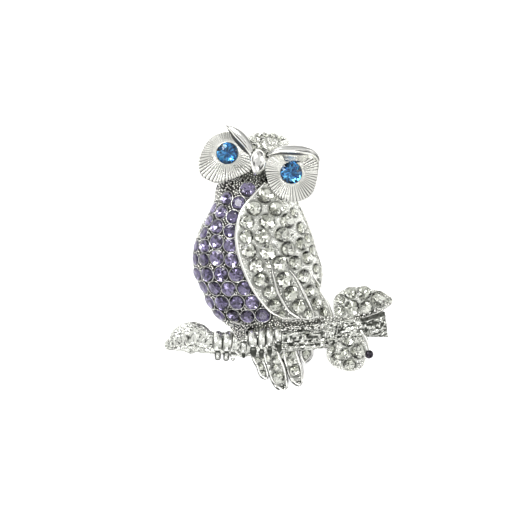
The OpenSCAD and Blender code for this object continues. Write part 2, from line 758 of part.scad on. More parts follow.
// Bar, hinge block, pin stem and catch in one plain piece. The stem is closed in the catch.
module pin_back() {
    color("lightgrey")
        union() {
            translate([bar_x[0], pin_y - bar_w / 2, bar_top - bar_t])
                cube([bar_x[1] - bar_x[0], bar_w, bar_t]);
            translate([bar_x[0], pin_y - bar_w / 2, 0])
                cube([hinge_l, bar_w, bar_top - bar_t / 2]);
            translate([bar_x[0] + hinge_l / 2, pin_y, stem_z])
                rotate([0, 90, 0])
                    cylinder(h = stem_l - point_l - hinge_l / 2, r = stem_r, $fn = 32);
            translate([bar_x[0] + stem_l - point_l, pin_y, stem_z])
                rotate([0, 90, 0])
                    cylinder(h = point_l, r1 = stem_r, r2 = point_r, $fn = 32);
            difference() {
                union() {
                    translate([catch_x, pin_y, stem_z])
                        rotate([0, 90, 0])
                            cylinder(h = catch_l, r = catch_r, $fn = 32);
                    translate([catch_x, pin_y + catch_bore, stem_z])
                        cube([catch_l, catch_r - catch_bore, bar_top - bar_t / 2 - stem_z]);
                }
                translate([catch_x - 1, pin_y, stem_z])
                    rotate([0, 90, 0])
                        cylinder(h = catch_l + 2, r = catch_bore, $fn = 32);
                translate([catch_x - 1, pin_y - 2, stem_z])
                    cube([catch_l + 2, 2, 0.9]);
            }
        }
}

module eye_stone_left() {
    color("royalblue")
        stones([left_eye], eye_sides);
}

module eye_stone_right() {
    color("royalblue")
        stones([right_eye], eye_sides);
}

module forehead_stones() {
    color("white")
        stones(forehead_set);
}

module breast_stones() {
    color("mediumpurple")
        stones(breast_set);
}

module wing_stones() {
    color("white")
        stones(wing_set);
}

module upper_leaf_stones() {
    color("white")
        stones(upper_leaf_set);
}

module lower_leaf_stones() {
    color("white")
        stones(lower_leaf_set);
}

module tail_stones() {
    color("white")
        stones(tail_set);
}

casting();
pin_back();
eye_stone_left();
eye_stone_right();
forehead_stones();
breast_stones();
wing_stones();
upper_leaf_stones();
lower_leaf_stones();
tail_stones();
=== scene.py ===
"""Looks of an owl brooch on a leafy branch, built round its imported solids.

Lengths in the tables are millimetres in the frame of the solids: +X towards the leaves, +Y up the owl and
+Z out of its face, with the brooch lying on its back at z = 0. Meshes are written in metres.
"""

import logging
import math
from collections.abc import Callable, Iterable, Sequence
from dataclasses import dataclass, field
from enum import Enum

import bmesh
import bpy
import numpy as np
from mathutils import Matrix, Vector


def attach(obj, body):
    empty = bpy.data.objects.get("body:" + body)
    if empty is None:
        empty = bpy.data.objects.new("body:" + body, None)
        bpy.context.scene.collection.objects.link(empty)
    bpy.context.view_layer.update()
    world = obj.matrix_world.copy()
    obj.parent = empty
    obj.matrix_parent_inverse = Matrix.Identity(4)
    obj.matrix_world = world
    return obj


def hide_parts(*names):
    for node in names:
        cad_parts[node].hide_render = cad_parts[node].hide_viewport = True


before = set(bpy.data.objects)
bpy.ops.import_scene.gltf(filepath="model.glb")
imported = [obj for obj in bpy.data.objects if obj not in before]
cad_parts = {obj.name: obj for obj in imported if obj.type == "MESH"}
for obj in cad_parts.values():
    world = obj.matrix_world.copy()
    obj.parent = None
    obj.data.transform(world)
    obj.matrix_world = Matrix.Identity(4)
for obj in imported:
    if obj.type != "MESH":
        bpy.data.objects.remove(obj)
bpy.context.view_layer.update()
LOG = logging.getLogger("owl_brooch")

MM = 0.001
BODY = "root"
CASTING = "casting"  # the solid that the metal pieces stand for
SEED = 11
BACK = 3.6  # height of the casting's flat back
DOME_POWER = 2.4  # 2 would be a round dome, and more is flatter on top
FACETED = 1  # crease in degrees at which every facet shows
ROUNDED = 80  # crease at which small round forms look smooth
UPPER_LEFT = (-0.35, 0.93, 0.0)  # side on which the stones' facets take the most painted shade
WORN = {"Contrast": 9.0, "Lean": 0.3}  # grain of the leaves and feathers, worn flat between its pits
Row = Sequence[float]
Array = np.ndarray
Colour = tuple[float, float, float]
Piece = bpy.types.Object
Mesh = bpy.types.Mesh
Material = bpy.types.Material
Node = bpy.types.Node
Nodes = bpy.types.NodeTree
Outputs = bpy.types.NodeOutputs
Socket = bpy.types.NodeSocket


class Slot(Enum):
    """Material slots of the record."""

    PLATE = "plated_casting"
    PIN = "pin_metal"
    BLUE = "blue_stone"
    VIOLET = "violet_stone"
    CLEAR = "clear_stone"


# Reading tables


def smooth(keys: Iterable[float], values: Iterable[float], at: Array | float) -> Array:
    """Reads a column of a table on a smooth curve through its rows.

    Args:
        keys: The column that is read by, rising or falling.
        values: The column that is read.
        at: Where to read, held inside the keys.

    Returns:
        The values there.
    """
    k = np.asarray(list(keys), float)
    v = np.asarray(list(values), float)
    if k[0] > k[-1]:
        k, v = k[::-1], v[::-1]
    q = np.clip(np.asarray(at, float), k[0], k[-1])
    slope = np.gradient(v, k)
    i = np.clip(np.searchsorted(k, q, side="right") - 1, 0, len(k) - 2)
    h = k[i + 1] - k[i]
    t = (q - k[i]) / h
    a = v[i] * (1 + 2 * t) * (1 - t) ** 2 + v[i + 1] * t * t * (3 - 2 * t)
    return a + h * (slope[i] * t * (1 - t) ** 2 - slope[i + 1] * t * t * (1 - t))


def ease(value: Array | float, low: float, high: float) -> Array:
    """Goes smoothly from 0 at low to 1 at high."""
    t = np.clip((np.asarray(value, float) - low) / (high - low), 0, 1)
    return t * t * (3 - 2 * t)


def column(rows: Sequence[Row], index: int) -> list[float]:
    """Takes one column out of a table."""
    return [row[index] for row in rows]


def spread(rows: Sequence[Row], count: int) -> Array:
    """Refines a table of stations on a smooth curve.

    Args:
        rows: The stations, whose first three columns are a place.
        count: How many rows to give, evenly spaced along the curve.

    Returns:
        The new rows.
    """
    table = np.asarray(rows, float)
    steps = np.linalg.norm(np.diff(table[:, :3], axis=0), axis=1)
    along = np.concatenate([[0], np.cumsum(steps)])
    at = np.linspace(0, along[-1], count)
    return np.stack([smooth(along, table[:, c], at) for c in range(table.shape[1])], 1)


def unit(v: Array) -> Array:
    """Scales vectors to length 1."""
    return v / np.maximum(np.linalg.norm(v, axis=-1, keepdims=True), 1e-12)


def points_of(x: Array | float, y: Array | float, z: Array | float) -> Array:
    """Puts coordinates together as points."""
    return np.stack(np.broadcast_arrays(x, y, z), -1)


def circle(count: int) -> Array:
    """Gives angles evenly round a circle, in radians."""
    return np.linspace(0, 2 * math.pi, count, endpoint=False)


# Surfaces that carry stones


class Surface:
    """A height over each x, y in millimetres."""

    def height(self, x: Array, y: Array) -> Array:
        """Gives the height there."""
        raise NotImplementedError

    def normal(self, x: Array, y: Array, reach: float = 0.1) -> Array:
        """Measures unit normals.

        Args:
            x: The places' x.
            y: The places' y.
            reach: Half of the span that the slope is measured over.

        Returns:
            The normals there.
        """
        run = self.height(x - reach, y) - self.height(x + reach, y)
        rise = self.height(x, y - reach) - self.height(x, y + reach)
        return unit(points_of(run, rise, 2 * reach))

    def points(self, x: Array, y: Array, drop: Array | float = 0.0) -> Array:
        """Gives points of the surface, or so far below it."""
        return points_of(x, y, self.height(x, y) - drop)


@dataclass(frozen=True)
class BodySurface(Surface):
    """Domed breast and back, from its left outline to its right outline."""

    edge: float = 1.0  # height of the outline over the back
    rise: float = 6.4  # height of the crown over the outline
    step: float = 0.0  # how far the surface stands off the breast
    least: float = 0.015  # share of the width along each edge where the height stays level
    # y, left edge, wing rim, right edge, share of the crown's height
    rows: tuple[Row, ...] = (
        (14.0, -8.5, -2.0, 1.0, 0.66),
        (12.6, -10.2, -2.4, 2.0, 0.76),
        (11.9, -10.5, -3.0, 2.3, 0.79),
        (9.9, -10.8, -4.8, 2.9, 0.88),
        (7.75, -11.7, -6.3, 3.9, 0.95),
        (6.1, -12.7, -6.8, 4.6, 0.98),
        (4.4, -13.5, -7.1, 5.3, 1.0),
        (1.1, -14.4, -6.8, 6.3, 1.0),
        (-2.25, -14.1, -5.7, 7.2, 0.96),
        (-4.4, -13.4, -4.7, 7.0, 0.91),
        (-6.4, -12.4, -3.5, 7.2, 0.84),
        (-7.9, -11.7, -2.3, 7.9, 0.78),
        (-9.1, -11.0, -1.0, 8.5, 0.72),
        (-9.9, -10.2, 0.7, 8.8, 0.67),
        (-11.1, -8.8, 1.5, 8.9, 0.58),
        (-12.3, -6.5, 2.0, 8.2, 0.5),
    )

    def read(self, y: Array, index: int) -> Array:
        """Reads a column of the body's table at y."""
        return smooth(column(self.rows, 0), column(self.rows, index), y)

    @staticmethod
    def arch(u: Array) -> Array:
        """Gives the dome's height over its crown's, at a share of its width."""
        return np.sqrt(np.maximum(0, 1 - np.abs(2 * u - 1) ** DOME_POWER))

    def height(self, x: Array, y: Array) -> Array:
        """Gives the height there."""
        left, right, share = (self.read(y, c) for c in (1, 3, 4))
        u = np.clip((x - left) / (right - left), self.least, 1 - self.least)
        return BACK + self.edge + self.step + self.rise * share * self.arch(u)


@dataclass(frozen=True)
class PlateSurface(Surface):
    """Plate about a middle, dished or domed towards its edge."""

    x: float
    y: float
    top: float  # height of the middle over the back
    slope_x: float
    slope_y: float
    bow: float  # rise from the middle to the edge
    edge: tuple[Row, ...]  # angle, reach

    def reach(self, angle: Array) -> Array:
        """Gives how far the edge reaches at an angle in degrees."""
        a = np.array(column(self.edge, 0))
        r = np.array(column(self.edge, 1))
        keys = np.concatenate([a[-3:] - 360, a, a[:3] + 360])
        return smooth(keys, np.concatenate([r[-3:], r, r[:3]]), np.mod(angle, 360))

    def share(self, x: Array, y: Array) -> Array:
        """Gives 0 at the middle and 1 at the edge."""
        dx, dy = x - self.x, y - self.y
        return np.hypot(dx, dy) / self.reach(np.degrees(np.arctan2(dy, dx)))

    def height(self, x: Array, y: Array) -> Array:
        """Gives the height there."""
        tilt = self.slope_x * (x - self.x) + self.slope_y * (y - self.y)
        return BACK + self.top + tilt + self.bow * self.share(x, y) ** 2

    def ring(self, share: Array | float, degrees: Array, drop: Array | float = 0.0) -> Array:
        """Gives points of the plate at a share of its reach.

        Args:
            share: The share, or one for each angle.
            degrees: The angles.
            drop: How far below the surface the points lie.

        Returns:
            The points.
        """
        out, turn = share * self.reach(degrees), np.radians(degrees)
        return self.points(self.x + out * np.cos(turn), self.y + out * np.sin(turn), drop)

    def skin(self, corners: int, steps: int, skirt: float, foot: float) -> Array:
        """Closes the plate with a skirt and a foot.

        Args:
            corners: Points round a ring.
            steps: Rings from near the middle to the edge.
            skirt: Height of the skirt.
            foot: Depth of the foot under the middle.

        Returns:
            Rings of points.
        """
        degrees = np.arange(corners) * 360 / corners
        rings = [self.ring(share, degrees) for share in (0.03, *np.linspace(0.1, 1.0, steps))]
        return np.stack([*rings, rings[-1] - [0, 0, skirt], rings[0] - [0, 0, foot]])


@dataclass(frozen=True)
class DomeSurface(Surface):
    """Half of an ellipsoid."""

    x: float = -2.5
    y: float = 19.1
    wide: float = 4.3  # half of its width
    tall: float = 1.95  # half of its length
    base: float = 6.4  # height of the edge over the back
    top: float = 8.0

    def share(self, x: Array, y: Array) -> Array:
        """Gives 0 at the middle and 1 at the edge, squared."""
        return ((x - self.x) / self.wide) ** 2 + ((y - self.y) / self.tall) ** 2

    def height(self, x: Array, y: Array) -> Array:
        """Gives the height there."""
        dome = np.sqrt(np.maximum(0.04, 1 - self.share(x, y)))
        return BACK + self.base + (self.top - self.base) * dome

    def ring(self, share: float, turn: Array) -> Array:
        """Gives points of the dome at a share of its reach, at angles in radians."""
        wide, tall = share * self.wide, share * self.tall
        return self.points(self.x + wide * np.cos(turn), self.y + tall * np.sin(turn))


@dataclass(frozen=True)
class FeatherSurface(Surface):
    """Top of a long feather that falls along -Y."""

    rows: tuple[Row, ...]  # x, y, height over the back, half width
    thick: float = 0.75  # height of the top over the rows

    def height(self, x: Array, y: Array) -> Array:
        """Gives the height there, level across the feather."""
        line = smooth(column(self.rows, 1), column(self.rows, 2), y)
        return BACK + line + self.thick + 0 * np.asarray(x)


@dataclass(frozen=True)
class Stones:
    """Stones set on a surface: places, unit normals and radii."""

    place: Array
    facing: Array
    radius: Array

    @classmethod
    def on(cls, surface: Surface, chart: Iterable[Row], gap: float = 0.03, reach: float = 0.26) -> "Stones":
        """Sets a chart on a surface, evenly apart and each stone small enough to clear the others.

        Args:
            surface: What carries the stones.
            chart: Rows of x, y, radius.
            gap: Least gap between two girdles.
            reach: How far a stone may slide from its place in the chart, less where the surface turns away.

        Returns:
            The stones.
        """
        swell, steps, pace, far = 1.14, 60, 0.3, 1e3
        rows = np.array(list(chart), float)
        r = rows[:, 2] * swell
        slid = np.zeros((len(r), 2))
        limit = reach * surface.normal(rows[:, 0], rows[:, 1])[:, 2] ** 3
        for _ in range(steps):
            place = surface.points(*(rows[:, :2] + slid).T)
            apart = place[:, None] - place[None]
            d = np.linalg.norm(apart, axis=2) + np.eye(len(r)) * far
            push = np.clip(r[:, None] + r[None] + gap - d, 0, None) / d
            slid += pace * (push[..., None] * apart).sum(1)[:, :2]
            slid *= np.minimum(1, limit / np.maximum(np.linalg.norm(slid, axis=1), 1e-9))[:, None]
        x, y = (rows[:, :2] + slid).T
        place, facing = surface.points(x, y), surface.normal(x, y)
        if len(r) > 1:
            d = np.linalg.norm(place[:, None] - place[None], axis=2) + np.eye(len(r)) * far
            r = np.minimum(r, ((d - gap) * r[:, None] / (r[:, None] + r[None])).min(1))
        return cls(place, facing, r)

    @classmethod
    def joined(cls, *sets: "Stones") -> "Stones":
        """Puts sets together."""
        parts = ("place", "facing", "radius")
        return cls(*(np.concatenate([getattr(s, part) for s in sets]) for part in parts))


NO_STONES = Stones(np.zeros((0, 3)), np.zeros((0, 3)), np.zeros(0))


def sink(points: Array, stones: Stones, depth: float = 0.45, spare: float = 0.05) -> tuple[Array, Array]:
    """Presses seats for stones into a grid of points.

    Args:
        points: The metal's points.
        stones: What it holds.
        depth: Depth of a seat over its radius.
        spare: Gap between a stone and its seat.

    Returns:
        The pressed points, and how near each lies to a stone, from 0 to 1.
    """
    flat = points.reshape(-1, 3).copy()
    near = np.zeros(len(flat))
    for place, facing, r in zip(stones.place, stones.facing, stones.radius):
        rel = flat - place
        up = rel @ facing
        out = np.linalg.norm(rel - up[:, None] * facing, axis=1)
        inside = (out < r + spare) & (np.abs(up) < 2 * r)
        want = -depth * r * np.clip(1 - out / r, 0, 1) - spare
        flat[inside] += (np.minimum(up, want) - up)[inside, None] * facing
        near = np.maximum(near, 1 - ease(out, r + 0.05, r + 0.45) - (np.abs(up) >= 2 * r))
    return flat.reshape(points.shape), np.clip(near, 0, 1).reshape(points.shape[:-1])


# Meshes


def piece_of(name: str, mesh: Mesh) -> Piece:
    """Links a mesh as a new object at the origin."""
    made = bpy.data.objects.new(name, mesh)
    bpy.context.scene.collection.objects.link(made)
    return made


def finish_mesh(mesh: Mesh, crease: float) -> None:
    """Merges doubles, turns the faces outwards and shades the mesh smooth.

    Args:
        mesh: The mesh.
        crease: Angle in degrees over which an edge stays sharp.
    """
    work = bmesh.new()
    work.from_mesh(mesh)
    bmesh.ops.remove_doubles(work, verts=work.verts, dist=1e-7)
    bmesh.ops.recalc_face_normals(work, faces=work.faces)
    work.to_mesh(mesh)
    work.free()
    mesh.shade_smooth()
    mesh.set_sharp_from_angle(angle=math.radians(crease))


def tube_mesh(name: str, rings: Array, hollow: Array | None = None, crease: float = 40) -> Piece:
    """Makes a closed body through rings of points.

    Args:
        name: The piece's name.
        rings: Points by ring and corner, in millimetres.
        hollow: How deep each point lies in a hollow, with any painted shade, from 0 to 1.
        crease: Angle over which an edge stays sharp.

    Returns:
        The piece.
    """
    count, corners = rings.shape[:2]
    index = np.arange(count * corners).reshape(count, corners)
    right = np.roll(index, -1, 1)
    quads = np.stack([index[:-1], right[:-1], right[1:], index[1:]], -1).reshape(-1, 4)
    faces = quads.tolist() + [index[0, ::-1].tolist(), index[-1].tolist()]
    mesh = bpy.data.meshes.new(name)
    mesh.from_pydata((rings.reshape(-1, 3) * MM).tolist(), [], faces)
    if hollow is not None:
        mark(mesh, "hollow", hollow)
    finish_mesh(mesh, crease)
    return piece_of(name, mesh)


def mark(mesh: Mesh, name: str, values: Array | float, vectors: bool = False) -> None:
    """Writes an attribute on a mesh's points.

    Args:
        mesh: The mesh.
        name: The attribute's name.
        values: A value for each point, or one for all.
        vectors: Whether they are vectors.
    """
    kind, label = ("FLOAT_VECTOR", "vector") if vectors else ("FLOAT", "value")
    layer = mesh.attributes.get(name) or mesh.attributes.new(name, kind, "POINT")
    flat = np.asarray(values, np.float32).reshape(-1)
    layer.data.foreach_set(label, flat if flat.size > 1 else np.repeat(flat, len(layer.data)))


def carry(piece: Piece, rings: Array, values: Array) -> Array:
    """Brings values from a grid to a piece's points, which merging may have renumbered.

    Args:
        piece: The piece.
        rings: The points that it was made from.
        values: A value for each of them.

    Returns:
        A value for each of the piece's points, 0 where it has moved.
    """
    if len(piece.data.vertices) == values.size:
        return values
    grid = {tuple(np.round(p, 4)): v for p, v in zip(rings.reshape(-1, 3), values.reshape(-1))}
    return np.array([grid.get(tuple(np.round(np.array(v.co) / MM, 4)), 0.0) for v in piece.data.vertices])


def sweep(stations: Array, profile: Array, across: Array | None = None, floor: float = 0.0) -> Array:
    """Carries a cross-section along stations.

    Args:
        stations: Rows of x, y, height over the back, half width, half thickness.
        profile: Corners of the cross-section, side and up, each from -1 to 1.
        across: Fixed direction of the width, where the path turns towards +Z.
        floor: Height that the rows are measured from, over the casting's back.

    Returns:
        Rings of points.
    """
    line = stations[:, :3] + [0, 0, BACK + floor]
    along = unit(np.gradient(line, axis=0))
    side = unit(np.cross(along, [0.0, 0.0, 1.0])) if across is None else np.broadcast_to(across, along.shape)
    up = np.cross(side, along)
    wide, thick = stations[:, 3, None, None], stations[:, 4, None, None]
    out = side[:, None] * profile[None, :, :1] * wide
    return line[:, None] + out + up[:, None] * profile[None, :, 1:] * thick


def round_profile(corners: int, power: float = 1.0) -> Array:
    """Gives a closed cross-section.

    Args:
        corners: Its number of corners.
        power: 1 for a circle, less for a fuller form.

    Returns:
        Side and up of each corner, from -1 to 1.
    """
    a = circle(corners) + math.pi / 2
    c, s = np.cos(a), np.sin(a)
    return np.stack([np.sign(c) * np.abs(c) ** power, np.sign(s) * np.abs(s) ** power], 1)


def faceted_profile(corners: Sequence[Row], cuts: int = 3) -> Array:
    """Divides the straight sides of a cross-section.

    Args:
        corners: Its corners, in any number of columns.
        cuts: Parts that each side falls into.

    Returns:
        The corners with the new ones between.
    """
    points = np.asarray(corners, float)
    following = np.roll(points, -1, 0)
    shares = np.arange(cuts) / cuts
    run = (following - points)[:, None] * shares[None, :, None]
    return (points[:, None] + run).reshape(-1, points.shape[1])


# Node trees


@dataclass
class Tree:
    """Builds a node tree of either kind with few words."""

    nodes: Nodes

    @classmethod
    def group(cls, name: str, kind: str, inputs: dict[str, object], outputs: dict[str, object]) -> "Tree":
        """Starts a node group.

        Args:
            name: The group's name.
            kind: Geometry or Shader.
            inputs: By name, a start value or a kind of socket.
            outputs: The same for what it puts out.

        Returns:
            The tree.
        """
        tree = cls(bpy.data.node_groups.new(name, f"{kind}NodeTree"))
        for way, sockets in (("INPUT", inputs), ("OUTPUT", outputs)):
            for label, value in sockets.items():
                sort = value if isinstance(value, str) else type(value).__name__.capitalize()
                made = tree.nodes.interface.new_socket(label, in_out=way, socket_type=f"NodeSocket{sort}")
                if not isinstance(value, str):
                    made.default_value = value
        return tree

    @classmethod
    def geometry(cls, name: str, **inputs: object) -> "Tree":
        """Starts a Geometry Nodes tree that changes a geometry."""
        both = {"Geometry": "Geometry"}
        return cls.group(name, "Geometry", {**both, **inputs}, both)

    def given(self) -> Outputs:
        """Gives the sockets of the tree's inputs."""
        return self.add("NodeGroupInput").outputs

    def fill(self, node: Node, links: dict) -> None:
        """Fills a node's inputs.

        Args:
            node: The node.
            links: By input name or number, a socket to link or a value to set.
        """
        for key, value in links.items():
            if isinstance(value, Socket):
                self.nodes.links.new(value, node.inputs[key])
            else:
                node.inputs[key].default_value = value

    def add(self, kind: str, links: dict | None = None, **settings: object) -> Node:
        """Adds a node, sets its properties and fills its inputs.

        Args:
            kind: The node's type.
            links: What its inputs get.
            settings: The node's own properties.

        Returns:
            The node.
        """
        node = self.nodes.nodes.new(kind)
        for key, value in settings.items():
            setattr(node, key, value)
        self.fill(node, links or {})
        return node

    def put(self, kind: str, links: dict | None = None, **settings: object) -> Socket:
        """Adds a node and gives its first output."""
        return self.add(kind, links, **settings).outputs[0]

    def math(self, operation: str, a: object, b: object = 0.0) -> Socket:
        """Adds a Math node and gives its output."""
        return self.put("ShaderNodeMath", {0: a, 1: b}, operation=operation)

    def vector(self, operation: str, a: object, b: object) -> Socket:
        """Adds a Vector Math node and gives its output."""
        second = "Scale" if operation == "SCALE" else 1
        node = self.add("ShaderNodeVectorMath", {0: a, second: b}, operation=operation)
        return node.outputs["Value" if operation == "DOT_PRODUCT" else "Vector"]

    def mix(self, share: object, a: object, b: object, colour: bool = False) -> Socket:
        """Adds a Mix node for numbers or colours and gives its output."""
        kind, first, out = ("RGBA", 6, 2) if colour else ("FLOAT", 2, 0)
        return self.add("ShaderNodeMix", {0: share, first: a, first + 1: b}, data_type=kind).outputs[out]

    def ramp(self, value: object, low: float, high: float, kind: str = "SMOOTHSTEP") -> Socket:
        """Adds a Map Range node that goes from 0 at low to 1 at high and gives its output."""
        return self.put("ShaderNodeMapRange", {"Value": value, 1: low, 2: high}, interpolation_type=kind)

    def noise(
        self, scale: object, detail: object, place: Socket, more: dict | None = None, **settings: object
    ) -> Socket:
        """Adds a Noise Texture node and gives its height."""
        links = {"Vector": place, "Scale": scale, "Detail": detail, **(more or {})}
        return self.put("ShaderNodeTexNoise", links, **settings)

    def chance(self, high: float, seed: object) -> Socket:
        """Gives a random number from 0 to high for each element."""
        links = {2: 0.0, 3: high, "Seed": seed}
        return self.add("FunctionNodeRandomValue", links, data_type="FLOAT").outputs[1]

    def named(self, name: str, kind: str = "FLOAT") -> Socket:
        """Reads a named attribute in a Geometry Nodes tree."""
        return self.put("GeometryNodeInputNamedAttribute", {"Name": name}, data_type=kind)

    def level(self, name: str) -> Socket:
        """Reads a named attribute in a shader tree."""
        return self.add("ShaderNodeAttribute", attribute_name=name).outputs["Fac"]

    def spot(self) -> Socket:
        """Gives the place on the piece in millimetres, in a shader tree."""
        return self.vector("SCALE", self.add("ShaderNodeTexCoord").outputs["Object"], 1 / MM)

    def shape(self, piece: object) -> Socket:
        """Gives the mesh of an object, in a Geometry Nodes tree."""
        return self.add("GeometryNodeObjectInfo", {"Object": piece}).outputs["Geometry"]

    def even_line(self, given: Outputs) -> Socket:
        """Turns incoming lines into curves whose points lie the given spacing apart."""
        line = self.put("GeometryNodeMeshToCurve", {"Mesh": given["Geometry"]})
        links = {"Curve": line, "Length": given["Spacing"]}
        return self.put("GeometryNodeResampleCurve", links, mode="LENGTH")

    def store(self, geometry: object, name: str, value: object, domain: str) -> Socket:
        """Writes a named float attribute in a Geometry Nodes tree."""
        links = {"Geometry": geometry, "Name": name, "Value": value}
        return self.put("GeometryNodeStoreNamedAttribute", links, data_type="FLOAT", domain=domain)

    def paint(self, geometry: object, finish: object, where: object = True) -> Socket:
        """Gives a geometry a finish in a Geometry Nodes tree."""
        links = {"Geometry": geometry, "Selection": where, "Material": finish}
        return self.put("GeometryNodeSetMaterial", links)

    def end(self, geometry: object, finish: object) -> Socket:
        """Realizes instances and gives them a finish."""
        return self.paint(self.put("GeometryNodeRealizeInstances", {"Geometry": geometry}), finish)

    def close(self, **outputs: object) -> Nodes:
        """Fills the tree's outputs and gives its nodes."""
        self.add("NodeGroupOutput", outputs)
        return self.nodes


def setter_tree() -> Nodes:
    """Builds the tree that sets a shape on points, turned to their facing and scaled to their size."""
    tree = Tree.geometry(
        "set_on_points", Shape="Object", Tilt=0.0, Shadow=0.0, Calm=3.0, Seed=SEED, Finish="Material",
        Backing="Material",
    )
    given = tree.given()
    lean = tree.put(
        "FunctionNodeRandomValue",
        {0: (-1.0, -1.0, -1.0), 1: (1.0, 1.0, 1.0), "Seed": given["Seed"]},
        data_type="FLOAT_VECTOR",
    )
    facing = tree.named("facing", "FLOAT_VECTOR")
    leaning = tree.vector("ADD", facing, tree.vector("SCALE", lean, given["Tilt"]))
    stand = tree.put("FunctionNodeAlignRotationToVector", {"Vector": leaning}, axis="Z")
    turn = tree.put("FunctionNodeAxisAngleToRotation", {"Angle": tree.chance(2 * math.pi, given["Seed"])})
    both = {"Rotation": stand, "Rotate By": turn}
    turned = tree.put("FunctionNodeRotateRotation", both, rotation_space="LOCAL")
    links = {"Points": given["Geometry"], "Instance": tree.shape(given["Shape"]), "Rotation": turned}
    placed = tree.put("GeometryNodeInstanceOnPoints", {**links, "Scale": tree.named("size")})
    main = tree.end(placed, given["Finish"])
    backed = tree.paint(main, given["Backing"], tree.named("backing", "BOOLEAN"))
    # Each facet's tone: painted shade towards the stone's upper end, and painted dark reflections on some
    # facets at random
    normal = tree.put("GeometryNodeInputNormal")
    upper = tree.vector("DOT_PRODUCT", tree.vector("ADD", normal, facing), UPPER_LEFT)
    shadow = tree.math("MULTIPLY", tree.ramp(upper, -0.1, 0.15, "LINEAR"), given["Shadow"])
    tone = tree.math("MAXIMUM", tree.math("POWER", tree.chance(1.0, given["Seed"]), given["Calm"]), shadow)
    return tree.close(Geometry=tree.store(backed, "facet", tone, "FACE"))


def wire_tree() -> Nodes:
    """Builds the tree that draws a round wire along a line, as thick as the line's points say."""
    tree = Tree.geometry("wire_along_line", Radius=0.0003, Spacing=0.0003, Sides=12, Finish="Material")
    given = tree.given()
    thick = tree.named("thick")
    path = tree.put("GeometryNodeSetCurveRadius", {"Curve": tree.even_line(given), "Radius": thick})
    round_form = {"Resolution": given["Sides"], "Radius": given["Radius"]}
    ring = tree.put("GeometryNodeCurvePrimitiveCircle", round_form)
    wire = tree.add("GeometryNodeCurveToMesh", {"Curve": path, "Profile Curve": ring, "Fill Caps": True})
    if "Scale" in wire.inputs:
        tree.fill(wire, {"Scale": thick})
    return tree.close(Geometry=tree.end(wire.outputs[0], given["Finish"]))


def bead_row_tree() -> Nodes:
    """Builds the tree that strings beads along a line."""
    tree = Tree.geometry("beads_along_line", Shape="Object", Spacing=0.0003, Size=0.00013, Finish="Material")
    given = tree.given()
    links = {"Points": tree.even_line(given), "Instance": tree.shape(given["Shape"]), "Scale": given["Size"]}
    return tree.close(Geometry=tree.end(tree.put("GeometryNodeInstanceOnPoints", links), given["Finish"]))


def roughen_tree() -> Nodes:
    """Builds the tree that gives a skin a cast grain and adds its pits to the darkness of hollows and
    painted shade.
    """
    tree = Tree.geometry(
        "roughen_skin", Depth=0.0001, Stretch="Vector", Slant=0.0, Detail=2.0, Contrast=3.2, Lean=0.0,
        Seed=float(SEED), Finish="Material",
    )
    given = tree.given()
    place = tree.put("GeometryNodeInputPosition")
    aside = tree.math("MULTIPLY", tree.put("ShaderNodeSeparateXYZ", {0: place}), given["Slant"])
    slid = tree.vector("SUBTRACT", place, tree.put("ShaderNodeCombineXYZ", {1: aside}))
    scaled = tree.vector("MULTIPLY", slid, given["Stretch"])
    more = {"W": given["Seed"], "Roughness": 0.6}
    grain = tree.noise(1.0, given["Detail"], scaled, more, noise_dimensions="4D")
    wave = tree.math("MULTIPLY", tree.math("SUBTRACT", grain, 0.5), given["Contrast"])
    leaning = tree.math("ADD", wave, given["Lean"])
    level = tree.put("ShaderNodeClamp", {"Value": leaning, "Min": -1.0, "Max": 1.0})
    masked = tree.math("MULTIPLY", level, tree.named("rough"))
    lift = tree.math("MULTIPLY", masked, given["Depth"])
    offset = tree.vector("SCALE", tree.put("GeometryNodeInputNormal"), lift)
    moved = tree.put("GeometryNodeSetPosition", {"Geometry": given["Geometry"], "Offset": offset})
    dip = tree.math("MAXIMUM", tree.math("MULTIPLY", masked, -1.0), tree.named("hollow"))
    return tree.close(Geometry=tree.end(tree.store(moved, "hollow", dip, "POINT"), given["Finish"]))


def grow(piece: Piece, tree: Nodes, crease: float, **inputs: object) -> Piece:
    """Runs a Geometry Nodes tree on a piece and keeps the result as a plain mesh.

    Args:
        piece: What the tree starts from.
        tree: The tree.
        crease: Angle over which an edge of the result stays sharp.
        inputs: The tree's named inputs, with underscores for spaces.

    Returns:
        The piece, with its new mesh.
    """
    modifier = piece.modifiers.new(tree.name, "NODES")
    modifier.node_group = tree
    sockets = {item.name: item.identifier for item in tree.interface.items_tree if item.in_out == "INPUT"}
    for name, value in inputs.items():
        modifier[sockets[name.replace("_", " ")]] = value
    graph = bpy.context.evaluated_depsgraph_get()
    mesh = bpy.data.meshes.new_from_object(piece.evaluated_get(graph), depsgraph=graph)
    piece.modifiers.remove(modifier)
    old, piece.data = piece.data, mesh
    mesh.name = old.name
    bpy.data.meshes.remove(old)
    for spent in ("facing", "size", "thick", "rough", "backing"):
        if spent in mesh.attributes:
            mesh.attributes.remove(mesh.attributes[spent])
    mesh.shade_smooth()
    mesh.set_sharp_from_angle(angle=math.radians(crease))
    return piece


def point_cloud(name: str, stones: Stones) -> Piece:
    """Makes an object of loose points.

    Args:
        name: The object's name.
        stones: What the points carry: a facing, a size and a random shade.

    Returns:
        The object.
    """
    mesh = bpy.data.meshes.new(name)
    mesh.from_pydata((stones.place * MM).tolist(), [], [])
    mark(mesh, "facing", stones.facing, vectors=True)
    mark(mesh, "size", stones.radius * MM)
    mark(mesh, "shade", np.random.default_rng(SEED).random(len(stones.radius)))
    return piece_of(name, mesh)


